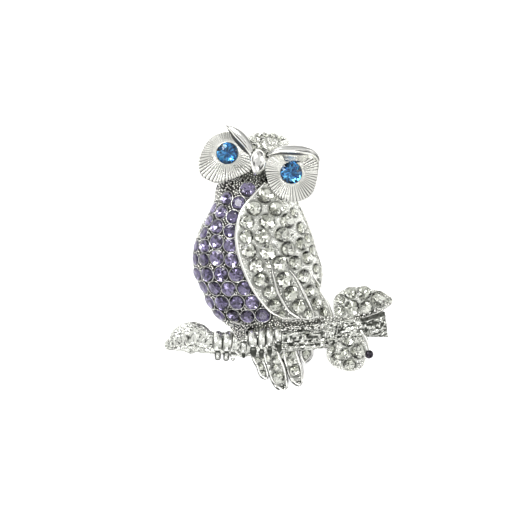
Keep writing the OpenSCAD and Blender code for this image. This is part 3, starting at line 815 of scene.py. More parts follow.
def line_object(name: str, lines: Sequence[Array], thick: Sequence[Array] | None = None) -> Piece:
    """Makes an object of open lines.

    Args:
        name: The object's name.
        lines: The points of each line.
        thick: How thick each line is at its points, over the wire's own radius.

    Returns:
        The object.
    """
    ends = set(np.cumsum([len(line) for line in lines]))
    points = np.concatenate(lines) * MM
    edges = [(k - 1, k) for k in range(1, len(points)) if k not in ends]
    mesh = bpy.data.meshes.new(name)
    mesh.from_pydata(points.tolist(), edges, [])
    mark(mesh, "thick", 1.0 if thick is None else np.concatenate(thick))
    return piece_of(name, mesh)


# Finishes


def tone_group() -> Nodes:
    """Builds the shader group that darkens hollows and painted shade and mottles a plating."""
    inputs = {
        "Light": "Color", "Dark": "Color", "Hollow Share": 0.8, "Mottle Share": 0.1, "Mottle Scale": 1.5,
        "Smooth Roughness": 0.15, "Hollow Roughness": 0.5,
    }
    tree = Tree.group("plating_tone", "Shader", inputs, {"Colour": "Color", "Roughness": "Float"})
    given = tree.given()
    cloud = tree.noise(given["Mottle Scale"], 3.0, tree.spot())
    deep = tree.math("MULTIPLY", tree.ramp(tree.level("hollow"), 0.08, 0.7), given["Hollow Share"])
    stain = tree.math("MULTIPLY", tree.math("SUBTRACT", cloud, 0.35), given["Mottle Share"])
    total = tree.put("ShaderNodeClamp", {"Value": tree.math("ADD", deep, stain)})
    colour = tree.mix(total, given["Light"], given["Dark"], colour=True)
    rough = tree.mix(total, given["Smooth Roughness"], given["Hollow Roughness"])
    return tree.close(Colour=colour, Roughness=rough)


def grain_group() -> Nodes:
    """Builds the shader group whose height is a fine cast or polished grain, in millimetres of scale."""
    tree = Tree.group("fine_grain", "Shader", {"Scale": 6.0, "Stretch": "Vector"}, {"Height": "Float"})
    given = tree.given()
    pulled = tree.vector("MULTIPLY", tree.spot(), given["Stretch"])
    return tree.close(Height=tree.noise(given["Scale"], 4.0, pulled))


@dataclass(frozen=True)
class Finish:
    """One shader, whose inputs each kind of finish fills in its own way."""

    name: str

    def inputs(self, tree: Tree) -> dict[str, object]:
        """Gives a value or a socket for each input of the shader that it sets."""
        raise NotImplementedError

    def material(self) -> Material:
        """Builds the material."""
        made = bpy.data.materials.new(self.name)
        made.use_nodes = True
        tree = Tree(made.node_tree)
        tree.fill(made.node_tree.nodes["Principled BSDF"], self.inputs(tree))
        return made


@dataclass(frozen=True)
class Plating(Finish):
    """Silver-coloured plating whose hollows and painted shade stay dark."""

    light: Colour = (0.88, 0.88, 0.84)
    dark: Colour = (0.1, 0.1, 0.1)  # in its hollows and its painted shade
    hollow: float = 0.95  # share of the dark where hollow and painted shade are full
    mottle: float = 0.12  # share of the dark in its stains
    roughness: float = 0.16
    hollow_roughness: float = 0.5
    grain: float = 7.0  # waves a millimetre
    grain_depth: float = 0.01
    stretch: tuple[float, float, float] = (1.0, 1.0, 1.0)

    def inputs(self, tree: Tree) -> dict[str, object]:
        """Gives the metal its tone and its fine grain."""
        toned = {
            "Light": (*self.light, 1), "Dark": (*self.dark, 1), "Hollow Share": self.hollow,
            "Mottle Share": self.mottle, "Smooth Roughness": self.roughness,
            "Hollow Roughness": self.hollow_roughness,
        }
        tone = tree.add("ShaderNodeGroup", toned, node_tree=bpy.data.node_groups["plating_tone"]).outputs
        grained = {"Scale": self.grain, "Stretch": self.stretch}
        height = tree.put("ShaderNodeGroup", grained, node_tree=bpy.data.node_groups["fine_grain"])
        bumped = {"Strength": 1.0, "Distance": self.grain_depth * MM, "Height": height}
        return {
            "Metallic": 1.0, "Base Color": tone["Colour"], "Roughness": tone["Roughness"],
            "Normal": tree.put("ShaderNodeBump", bumped),
        }


@dataclass(frozen=True)
class CutGlass(Finish):
    """Clear or coloured cut glass, slightly different from stone to stone."""

    pale: Colour
    deep: Colour
    ior: float = 1.46

    def inputs(self, tree: Tree) -> dict[str, object]:
        """Gives clear glass a tint for each stone."""
        tint = tree.mix(tree.level("shade"), (*self.pale, 1), (*self.deep, 1), colour=True)
        return {"Base Color": tint, "Roughness": 0.0, "IOR": self.ior, "Transmission Weight": 1.0}


@dataclass(frozen=True)
class Foil(Finish):
    """Mirror backing under a stone, whose facets carry painted shade and painted dark reflections."""

    colour: Colour
    dark: Colour  # in its darkest facets, as painted shade and painted dark reflections
    dim: float = 0.75  # share of the colour in the deepest stone
    roughness: float = 0.03

    def inputs(self, tree: Tree) -> dict[str, object]:
        """Gives the mirror a tint for each stone and a painted shade for each facet."""
        dim = tuple(self.dim * c for c in self.colour)
        tint = tree.mix(tree.level("shade"), (*self.colour, 1), (*dim, 1), colour=True)
        toned = tree.mix(tree.level("facet"), tint, (*self.dark, 1), colour=True)
        return {"Base Color": toned, "Metallic": 1.0, "Roughness": self.roughness}


@dataclass(frozen=True)
class Paper(Finish):
    """Pale paper under the brooch, lit a little from below."""

    pale: float = 0.95
    glow: float = 0.65

    def inputs(self, tree: Tree) -> dict[str, object]:
        """Gives a dull pale surface that glows."""
        return {
            "Base Color": (self.pale, self.pale, self.pale, 1), "Roughness": 0.9, "Specular IOR Level": 0.1,
            "Emission Color": (1, 1, 1, 1), "Emission Strength": self.glow,
        }


class Workshop:
    """Trees, finishes and small shapes that all the sub-assemblies share."""

    def __init__(self) -> None:
        """Builds the trees, the finishes and the repeated shapes."""
        tone_group()
        grain_group()
        self.setter = setter_tree()
        self.wire = wire_tree()
        self.bead_row = bead_row_tree()
        self.roughen = roughen_tree()
        self.polished = Plating("polished_plate", roughness=0.1, mottle=0.05, grain_depth=0.004).material()
        self.wired = Plating("wire_plate", mottle=0.08).material()
        self.fluted = Plating(
            "fluted_plate", (0.84, 0.84, 0.79), (0.08, 0.08, 0.07), roughness=0.22
        ).material()
        self.pebbled = Plating(
            "pebbled_plate", (0.42, 0.43, 0.38), (0.02, 0.02, 0.02), roughness=0.28, grain_depth=0.03
        ).material()
        self.barky = Plating(
            "bark_plate", (0.86, 0.87, 0.81), (0.045, 0.048, 0.04), roughness=0.2, grain_depth=0.02
        ).material()
        self.beaded = Plating("bead_plate", roughness=0.14, grain_depth=0.006).material()
        # Plating dimmed as painted shade, for the dark edge round each seat and for the neck under the head
        self.seated = Plating("seat_plate", (0.56, 0.57, 0.52), roughness=0.25).material()
        # The ball's plating is painted dark as the reflection of the dark camera and room over it
        self.ball_plate = Plating(
            "dark_ball_plate", (0.05, 0.045, 0.055), roughness=0.08, mottle=0.03, grain_depth=0.002
        ).material()
        self.steel = Plating(
            "pin_steel", (0.72, 0.72, 0.71), roughness=0.26, grain=9.0, stretch=(0.2, 3.0, 3.0)
        ).material()
        self.glass: dict[Slot, tuple[Material, Material]] = {}
        for slot, hue, (pale, deep), (bright, dark) in (
            (Slot.CLEAR, "clear",
             ((0.97, 0.98, 0.94), (0.88, 0.9, 0.84)), ((0.99, 0.99, 0.95), (0.4, 0.41, 0.36))),
            (Slot.VIOLET, "violet",
             ((0.62, 0.58, 0.75), (0.4, 0.37, 0.53)), ((0.66, 0.63, 0.74), (0.1, 0.09, 0.13))),
            (Slot.BLUE, "blue",
             ((0.2, 0.46, 0.69), (0.18, 0.43, 0.67)), ((0.5, 0.85, 1.0), (0.03, 0.1, 0.28))),
        ):
            foil = Foil(f"{hue}_foil", bright, dark)
            self.glass[slot] = (CutGlass(f"{hue}_glass", pale, deep).material(), foil.material())
        self.stone = self.cut_stone("cut_stone_shape", 7)
        self.eye = self.cut_stone("eye_stone_shape", 10)
        self.bead = self.dome_bead("bead_shape", 7)
        self.collar = self.ring("collar_shape", 20, 5, 0.042)

    @staticmethod
    def shape(name: str, points: Array, faces: list, crease: float, backs: Sequence[bool] = ()) -> Piece:
        """Makes a shape that is only copied, and keeps it out of the picture.

        Args:
            name: The shape's name.
            points: Its points, at radius 1.
            faces: Its faces.
            crease: Angle over which an edge stays sharp.
            backs: Which faces carry a foil, if any do.

        Returns:
            The shape.
        """
        mesh = bpy.data.meshes.new(name)
        mesh.from_pydata(points.reshape(-1, 3).tolist(), [], faces)
        if len(backs):
            mesh.attributes.new("backing", "BOOLEAN", "FACE").data.foreach_set("value", backs)
        finish_mesh(mesh, crease)
        piece = piece_of(name, mesh)
        bpy.context.scene.collection.objects.unlink(piece)
        return piece

    @classmethod
    def cut_stone(cls, name: str, sides: int) -> Piece:
        """Cuts a round stone of radius 1: table, star, kite and girdle facets over a pavilion with a foil.

        Args:
            name: The shape's name.
            sides: Sides of its table.

        Returns:
            The shape.
        """
        def ring(count: int, start: float, r: float, z: float) -> Array:
            """Gives count points round the stone."""
            a = (np.arange(count) + start) * 2 * math.pi / count
            return np.stack([r * np.cos(a), r * np.sin(a), np.full(count, z)], 1)

        table = ring(sides, 0.0, 0.54, 0.19)
        star = ring(sides, 0.5, 0.78, 0.125)
        girdle = ring(2 * sides, 0.0, 1.0, 0.03)
        belt = ring(2 * sides, 0.0, 1.0, -0.03)
        lower = ring(sides, 0.5, 0.66, -0.065)
        lower[1::3] += [0.0, 0.0, -0.03]
        inner = ring(sides, 0.0, 0.34, -0.13)
        inner[::2] += [0.0, 0.0, 0.02]
        points = np.concatenate([table, star, girdle, belt, lower, inner, [[0.04, -0.03, -0.21]]])
        g, b, w, v, c = (sides * k for k in (2, 4, 6, 7, 8))
        top = [list(range(sides))]
        under = []
        for k in range(sides):
            nxt, mid = (k + 1) % sides, sides + k
            rim = [g + 2 * k, g + 2 * k + 1, g + (2 * k + 2) % (2 * sides)]
            low = [i + b - g for i in rim]
            top += [[k, mid, nxt], [mid, rim[0], rim[1]], [mid, rim[1], rim[2]]]
            top += [[k, rim[0], mid], [nxt, mid, rim[2]]]
            top += [[rim[0], low[0], low[1], rim[1]], [rim[1], low[1], low[2], rim[2]]]
            under += [[low[0], w + k, low[1]], [low[1], w + k, low[2]], [low[0], v + k, w + k]]
            under += [[low[2], w + k, v + nxt], [v + k, c, w + k], [w + k, c, v + nxt]]
        backs = [False] * len(top) + [True] * len(under)
        return cls.shape(name, points, top + under, FACETED, backs)

    @classmethod
    def dome_bead(cls, name: str, sides: int) -> Piece:
        """Makes a bead of radius 1 that is rounded above and cut short below.

        Args:
            name: The shape's name.
            sides: Its number of sides.

        Returns:
            The shape.
        """
        # radius, height
        rows = ((0.8, -0.6), (0.95, 0.2), (0.5, 0.8))
        a = circle(sides)
        rings = np.stack([points_of(r * np.cos(a), r * np.sin(a), z) for r, z in rows])
        piece = tube_mesh(name, rings / MM, crease=ROUNDED)
        bpy.context.scene.collection.objects.unlink(piece)
        return piece

    @classmethod
    def ring(cls, name: str, around: int, sides: int, wire: float) -> Piece:
        """Makes a ring that holds the girdle of a stone of radius 1.

        Args:
            name: The shape's name.
            around: Sides of the ring.
            sides: Sides of its wire.
            wire: Radius of its wire.

        Returns:
            The shape.
        """
        a, b = circle(around)[:, None], circle(sides)
        r = 1.0 + wire * 0.7 + wire * np.cos(b)
        points = points_of(np.cos(a) * r, np.sin(a) * r, wire * np.sin(b) - 0.02)
        index = np.arange(around * sides).reshape(around, sides)
        down, side = np.roll(index, -1, 0), np.roll(index, -1, 1)
        quads = np.stack([index, down, np.roll(down, -1, 1), side], -1).reshape(-1, 4)
        return cls.shape(name, points, quads.tolist(), ROUNDED)

    def keep(self, piece: Piece, slot: Slot, *nodes: str) -> None:
        """Rides a finished piece on the brooch.

        Args:
            piece: The piece.
            slot: Its slot, which is not used.
            nodes: Solids that it stands for.
        """
        if not piece.data.materials:
            raise ValueError(f"{piece.name} has no finish")
        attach(piece, BODY)
        if nodes:
            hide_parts(*nodes)
        LOG.info("%s: %d faces", piece.name, len(piece.data.polygons))

    def dress(self, piece: Piece, finish: Material, *nodes: str) -> None:
        """Gives a metal piece one finish and keeps it.

        Args:
            piece: The piece.
            finish: Its finish.
            nodes: Solids that it stands for.
        """
        piece.data.materials.clear()
        piece.data.materials.append(finish)
        self.keep(piece, Slot.PLATE, *nodes)

    def set_stones(
        self, name: str, stones: Stones, slot: Slot, tilt: float = 0.08, shadow: float = 0.3,
        calm: float = 2.5, shade: Array | None = None,
    ) -> None:
        """Sets cut stones on their places as one piece, which stands for the solid of the same name.

        Args:
            name: The piece's name.
            stones: Where they sit.
            slot: Their slot, which gives their glass and foil.
            tilt: How far they lean from their seats at random.
            shadow: How much painted shade the facets towards their upper ends take.
            calm: How few of the other facets take painted dark reflections.
            shade: How deep each stone's tint is, at random if not given.
        """
        cloud = point_cloud(name, stones)
        if shade is not None:
            mark(cloud.data, "shade", shade)
        shape = self.eye if name.startswith("eye") else self.stone
        glass, foil = self.glass[slot]
        lit = {"Tilt": tilt, "Shadow": shadow, "Calm": calm}
        grow(cloud, self.setter, FACETED, Shape=shape, Finish=glass, Backing=foil, **lit)
        self.keep(cloud, slot, name)

    def set_collars(self, name: str, stones: Stones, finish: Material | None = None) -> None:
        """Puts a thin ring round each stone's girdle, dimmed as painted shade at the seat's edge unless a
        finish is given.

        Args:
            name: The piece's name.
            stones: The stones.
            finish: The rings' finish.
        """
        cloud = point_cloud(name, stones)
        finish = finish or self.seated
        grow(cloud, self.setter, ROUNDED, Shape=self.collar, Finish=finish, Backing=finish)
        self.keep(cloud, Slot.PLATE)

    def set_beads(self, name: str, beads: Stones, finish: Material | None = None) -> None:
        """Sets beads on points as one piece, bright unless a finish is given.

        Args:
            name: The piece's name.
            beads: Where they sit.
            finish: The beads' finish.
        """
        cloud = point_cloud(name, beads)
        finish = finish or self.beaded
        grow(cloud, self.setter, ROUNDED, Shape=self.bead, Tilt=0.1, Finish=finish, Backing=finish)
        self.keep(cloud, Slot.PLATE)

    def draw_wires(
        self, name: str, lines: Sequence[Array], radius: float, finish: Material,
        thick: Sequence[Array] | None = None,
    ) -> None:
        """Draws round wires along lines as one piece.

        Args:
            name: The piece's name.
            lines: The wires' middle lines.
            radius: The wires' radius.
            finish: Their finish.
            thick: How thick each is at its points, over its radius.
        """
        crease, spacing = 50, 0.3
        path = line_object(name, lines, thick)
        grow(path, self.wire, crease, Radius=radius * MM, Spacing=spacing * MM, Sides=12, Finish=finish)
        finish_mesh(path.data, crease)
        self.keep(path, Slot.PLATE)

    def string_beads(self, name: str, line: Array, size: float, spacing: float) -> None:
        """Strings beads along a line as one piece.

        Args:
            name: The piece's name.
            line: The line's points.
            size: The beads' radius.
            spacing: Distance from bead to bead.
        """
        path = line_object(name, [line])
        sizes = {"Spacing": spacing * MM, "Size": size * MM}
        grow(path, self.bead_row, ROUNDED, Shape=self.bead, Finish=self.beaded, **sizes)
        self.keep(path, Slot.PLATE)

    def roughen_skin(
        self, piece: Piece, finish: Material, depth: float, stretch: Row | float,
        crease: float = 60, **grain: float,
    ) -> None:
        """Gives a piece a cast grain of its own finish.

        Args:
            piece: The piece.
            finish: Its plating.
            depth: Depth of the grain.
            stretch: Fineness of the grain, along each axis or along all.
            crease: Angle over which an edge stays sharp.
            grain: Other inputs of the grain's tree.
        """
        fine = tuple(float(s) / MM for s in np.broadcast_to(stretch, 3))
        grow(piece, self.roughen, crease, Depth=depth * MM, Stretch=fine, Finish=finish, **grain)

    def cast(
        self, piece: Piece, finish: Material, depth: float, stretch: Row | float,
        rough: Array | float = 1.0, **grain: float,
    ) -> None:
        """Roughens a piece and keeps it as a part of the casting.

        Args:
            piece: The piece.
            finish: Its plating.
            depth: Depth of the grain.
            stretch: Fineness of the grain, along each axis or along all.
            rough: How far each point takes the grain, from 0 to 1.
            grain: Other inputs of the grain's tree.
        """
        mark(piece.data, "rough", rough)
        self.roughen_skin(piece, finish, depth, stretch, **grain)
        self.keep(piece, Slot.PLATE, CASTING)


def scatter(
    surface: Surface, box: tuple[float, float, float, float], sizes: tuple[float, float], tries: int,
    keep: Callable[[float, float], bool], stones: Stones, seed: int, crowd: float = 1.75,
) -> Stones:
    """Throws beads on a surface so that none lies on a stone or on another bead.

    Args:
        surface: What carries the beads.
        box: Least and most x, then least and most y.
        sizes: Least and most radius.
        tries: Number of throws.
        keep: Says whether a place may hold a bead.
        stones: Stones to stay clear of.
        seed: Seed of the throws.
        crowd: Distance between two beads over their mean radius.

    Returns:
        The beads.
    """
    rng = np.random.default_rng(seed)
    xs = rng.uniform(box[0], box[1], tries)
    ys = rng.uniform(box[2], box[3], tries)
    rs = rng.uniform(sizes[0], sizes[1], tries)
    spots, normals = surface.points(xs, ys), surface.normal(xs, ys)
    chosen: list[int] = []
    for k in range(tries):
        if not keep(xs[k], ys[k]):
            continue
        if (np.linalg.norm(stones.place - spots[k], axis=1) < stones.radius + 0.16 + 0.6 * rs[k]).any():
            continue
        gap = np.linalg.norm(spots[chosen] - spots[k], axis=1)
        if (gap < crowd * (rs[chosen] + rs[k]) / 2).any():
            continue
        chosen.append(k)
    return Stones(spots[chosen], normals[chosen], rs[chosen])


# The owl's body

BREAST_R = 1.25
# y, x of each stone in the row
BREAST_ROWS = (
    (11.25, (-5.3,)),
    (9.9, (-8.7,)),
    (9.15, (-6.9,)),
    (8.35, (-11.0,)),
    (7.7, (-9.5,)),
    (6.9, (-7.85,)),
    (6.3, (-11.7,)),
    (5.25, (-10.2,)),
    (4.6, (-8.3,)),
    (4.25, (-12.5,)),
    (2.6, (-10.4,)),
    (2.25, (-8.3,)),
    (2.05, (-13.8, -12.4)),
    (0.25, (-10.4,)),
    (-0.1, (-13.9, -12.5, -8.0)),
    (-2.4, (-9.7,)),
    (-2.65, (-13.6, -11.8, -7.3)),
    (-4.85, (-12.6, -10.7, -8.45, -6.0)),
    (-7.3, (-11.5, -9.4, -7.1, -4.7)),
    (-9.45, (-10.0, -7.5, -5.3, -2.9)),
)
# x, y, radius
WING_CHART = (
    (-2.4, 10.2, 1.25),
    (-4.2, 8.1, 1.25), (-0.7, 8.1, 1.25), (2.5, 7.6, 0.85),
    (-5.15, 5.85, 1.2), (-1.8, 6.0, 1.3), (1.3, 6.1, 1.2), (3.8, 5.0, 1.05),
    (-5.2, 3.75, 1.15), (-2.5, 3.7, 1.25), (0.7, 4.0, 1.2), (4.8, 3.4, 0.8),
    (-4.7, 1.3, 1.2), (-1.9, 1.3, 1.3), (1.3, 1.65, 1.25), (3.75, 2.4, 1.0), (5.6, 1.3, 0.85),
    (-3.85, -1.05, 1.2), (-1.8, -0.95, 0.5), (0.15, -0.7, 1.25), (2.55, -0.55, 1.1), (4.75, 0.15, 1.0),
    (6.25, -1.7, 0.8),
    (-2.9, -3.35, 1.25), (0.95, -3.35, 1.25), (4.1, -3.0, 1.05), (6.45, -4.2, 0.65),
    (-1.65, -5.65, 1.1), (2.0, -5.6, 1.2), (5.1, -5.45, 0.95),
    (-0.65, -7.5, 1.1), (3.35, -7.75, 1.15), (6.35, -7.6, 1.0),
    (0.3, -9.1, 0.7), (4.75, -9.05, 0.9), (7.4, -8.9, 0.8),
)


@dataclass
class OwlBody:
    """Breast, back, wing and the wires that frame them."""

    shop: Workshop
    surface: BodySurface = BodySurface()
    wing: BodySurface = BodySurface(step=0.55)
    apron: PlateSurface = PlateSurface(
        -6.7, -12.2, 5.6, 0.0, -0.5, -1.2,
        ((0, 1.4), (45, 2.0), (90, 2.0), (135, 2.0), (165, 1.3), (200, 0.95), (240, 1.2), (262, 1.8),
         (285, 1.6), (315, 1.35)),
    )
    wing_top: float = 12.6  # y of the wing's ends
    wing_end: float = -9.9
    wire_r: float = 0.27
    # Wires between the long feathers: x, y
    feather_wires: tuple[tuple[Row, ...], ...] = (
        ((-1.3, -1.3), (-0.8, -3.6), (-0.2, -5.6), (0.7, -7.3), (1.7, -8.8), (3.3, -9.9)),
        ((1.7, -1.9), (2.7, -3.1), (3.7, -4.9), (4.5, -6.6), (5.2, -8.0), (5.8, -9.9)),
    )
    edge_wire: tuple[Row, ...] = (
        (5.15, -2.1), (5.7, -3.2), (6.55, -4.4), (7.05, -5.7), (7.93, -7.1), (8.65, -8.9), (8.95, -9.75),
    )
    hem_wire: tuple[Row, ...] = (
        (0.7, -9.9), (2.0, -10.05), (3.4, -9.95), (4.6, -10.1), (5.8, -9.9), (6.4, -9.6), (7.6, -9.8),
        (8.7, -9.75),
    )
    breast: Stones = field(init=False)
    clear: Stones = field(init=False)

    def __post_init__(self) -> None:
        """Sets the stones."""
        chart = [(x, y, BREAST_R) for y, xs in BREAST_ROWS for x in xs]
        self.breast = Stones.on(self.surface, chart)
        self.clear = Stones.on(self.wing, WING_CHART)

    def build(self) -> None:
        """Builds every piece of the body."""
        self.shell()
        self.wing_panel()
        self.wires()
        self.stones()
        self.beads()
        self.apron_skin()

    def shell(self) -> None:
        """Makes the breast and back, with a seat for each breast stone."""
        y = np.linspace(14.0, -12.3, 150)[:, None]
        c = np.cos(np.linspace(0, math.pi, 130))
        # Columns crowd towards the edges, where the dome is steep
        u = 0.5 - 0.5 * np.sign(c) * np.abs(c) ** (1 / 1.2)
        left, right, share = (self.surface.read(y, k) for k in (1, 3, 4))
        z = BACK + self.surface.edge + self.surface.rise * share * self.surface.arch(u)
        top, near = sink(points_of(left + (right - left) * u, y, z), self.breast)
        floor = points_of(left + (right - left) * np.linspace(1, 0, 12), y, BACK)
        rings = np.hstack([top, floor])
        plain = np.zeros(floor.shape[:2])
        # Ground tone with painted shade where the body lies under the head; a little darker at its lower end
        # and round each seat
        shade = 0.42 + 0.32 * ease(y, 10.8, 11.8) + 0.08 * ease(-y, 9.8, 10.4)
        shell = tube_mesh("body_shell", rings, np.hstack([np.clip(shade + 0.5 * near, 0, 1), plain]))
        rough = carry(shell, rings, np.hstack([1 - near, plain]))
        self.shop.cast(shell, self.shop.pebbled, 0.07, 2.2, rough)

    def apron_skin(self) -> None:
        """Makes the pebbled lower end of the belly that hangs over the branch."""
        rings = self.apron.skin(90, 16, 2.0, 3.0)
        skin = tube_mesh("body_apron", rings, np.full(rings.shape[:2], 0.62), 60)
        self.shop.dress(skin, self.shop.pebbled, CASTING)
        grains = scatter(
            self.apron, (-8.9, -4.5, -14.2, -10.1), (0.12, 0.2), 3000,
            lambda x, y: self.apron.share(x, y) < 0.95, NO_STONES, SEED + 8,
        )
        self.shop.set_beads("apron_grains", grains)

    def wire_distance(self, x: Array, y: Array) -> Array:
        """Gives how far each place lies from the nearest feather wire."""
        far = 9.0
        best = np.full(np.shape(x), far)
        for wire in self.feather_wires:
            for a, b in zip(wire[:-1], wire[1:]):
                run = np.array(b) - a
                t = np.clip(((x - a[0]) * run[0] + (y - a[1]) * run[1]) / (run @ run), 0, 1)
                best = np.minimum(best, np.hypot(x - a[0] - t * run[0], y - a[1] - t * run[1]))
        return best

    def wing_panel(self) -> None:
        """Makes the wing, one step over the breast, with a groove along each feather wire."""
        y = np.linspace(self.wing_top, self.wing_end, 130)[:, None]
        s = np.sin(np.linspace(0, math.pi / 2, 90))
        rim, right = self.wing.read(y, 2), self.wing.read(y, 3) + 0.08
        x = rim + (right - rim) * s
        groove = np.exp(-((self.wire_distance(x, y) / 0.4) ** 2))
        top, near = sink(self.wing.points(x, y, 0.22 * groove), self.clear)
        low, down = BACK + 0.6, np.linspace(0.02, 1, 8)
        wall = points_of(right, y, top[:, -1:, 2] * (1 - down) + low * down)
        floor = points_of(right - (right - rim) * np.linspace(0.1, 0.999, 8), y, low)
        rings = np.hstack([top, wall, floor])
        plain = np.zeros((len(y), wall.shape[1] + floor.shape[1]))
        # Ground tone, darker towards the bottom and lighter towards the right edge
        ground_tone = 0.26 - 0.12 * s * s + 0.1 * ease(-y, 2.0, 7.0)
        hollow = np.hstack([ground_tone + 0.32 * np.maximum(0.7 * near, groove), plain + 0.3])
        panel = tube_mesh("wing_panel", rings, hollow)
        rough = carry(panel, rings, np.hstack([1 - near, plain]))
        self.shop.cast(panel, self.shop.barky, 0.1, 2.6, rough, Contrast=9.0, Lean=0.35)

    def on_wing(self, rows: Sequence[Row], count: int, lift: float) -> Array:
        """Lays a line on the wing.

        Args:
            rows: Its rows of x, y.
            count: How many points to give.
            lift: How far over the wing they lie.

        Returns:
            The points.
        """
        flat = np.asarray(rows, float)
        line = spread(np.column_stack([flat, np.zeros(len(flat))]), count)
        line[:, 2] = self.wing.height(line[:, 0], line[:, 1]) + lift
        return line

    def wires(self) -> None:
        """Draws the wing's rim, the feather wires and the hem, with grains below the hem."""
        shop = self.shop
        y = np.linspace(self.wing_top, self.wing_end, 90)
        rim = self.wing.points(self.wing.read(y, 2), y, 0.05)
        full = 0.62 + 0.38 * np.sin(np.linspace(0, math.pi, len(y)))
        shop.draw_wires("wing_rim", [rim], self.wire_r, shop.polished, [full])
        feathers = [self.on_wing(w, 40, -0.02) for w in self.feather_wires]
        taper = [0.35 + 0.65 * ease(np.linspace(0, 1, 40), 0, 0.35) for _ in feathers]
        shop.draw_wires("feather_wires", feathers, self.wire_r * 0.78, shop.polished, taper)
        shop.draw_wires("wing_edge", [self.on_wing(self.edge_wire, 50, -0.05)], self.wire_r, shop.wired)
        hem = self.on_wing(self.hem_wire, 70, -0.05)
        shop.draw_wires("wing_hem", [hem], self.wire_r * 0.6, shop.wired)
        rng = np.random.default_rng(SEED + 10)
        n = len(hem[::2])
        ranges = ((-0.1, 0.1), (0.2, 0.45), (0.2, 0.7))
        aside, down, back = (rng.uniform(low, high, n) for low, high in ranges)
        shift = points_of(aside, -down, -back)
        facing = np.broadcast_to([0.0, -0.6, 0.8], shift.shape)
        shop.set_beads("hem_grains", Stones(hem[::2] + shift, facing, rng.uniform(0.16, 0.26, n)))

    def stones(self) -> None:
        """Sets the breast and wing stones, each in its collar."""
        shop = self.shop
        shop.set_stones("breast_stones", self.breast, Slot.VIOLET)
        x, y, _ = self.clear.place.T
        low_right = ease(-y, 0.0, 7.0) * ease(-x, -5.0, -2.0)
        shade = 0.45 * np.random.default_rng(SEED).random(len(x)) + 0.55 * low_right
        shop.set_stones("wing_stones", self.clear, Slot.CLEAR, shadow=0.85, calm=6.0, shade=shade)
        shop.set_collars("breast_collars", self.breast, shop.beaded)
        shop.set_collars("wing_collars", self.clear)

    def rim_at(self, y: float) -> float:
        """Gives the wing rim's x, and one past the body below the wing."""
        past = 9.0
        return self.surface.read(y, 2) if y > self.wing_end else past

    def beads(self) -> None:
        """Throws grains between the stones and sets beads along the wing's edge."""
        breast = scatter(
            self.surface, (-14.3, 8.8, -12.2, 13.9), (0.13, 0.21), 16000,
            lambda x, y: self.surface.read(y, 1) + 0.15 < x < self.rim_at(y) - 0.35,
            Stones.joined(self.breast, self.clear), SEED, 2.0,
        )
        self.shop.set_beads("breast_grains", breast)
        wing = scatter(
            self.wing, (-7, 8.9, self.wing_end, 12.4), (0.12, 0.22), 16000,
            lambda x, y: self.rim_at(y) + 0.4 < x < self.wing.read(y, 3) + 0.05
            and self.wire_distance(x, y) > 0.35,
            self.clear, SEED + 1, 2.0,
        )
        self.shop.set_beads("wing_grains", wing)
        rng = np.random.default_rng(SEED + 9)
        y = np.arange(9.2, self.wing_end, -0.62)
        y = y + rng.uniform(-0.12, 0.12, len(y))
        x = self.wing.read(y, 3) + rng.uniform(-0.22, 0.02, len(y))
        edge = self.wing.points(x, y, -rng.uniform(-0.9, -0.1, len(y)))
        facing = np.broadcast_to([0.7, 0.0, 0.7], edge.shape)
        self.shop.set_beads("wing_edge_beads", Stones(edge, facing, rng.uniform(0.24, 0.38, len(y))))


# The owl's head


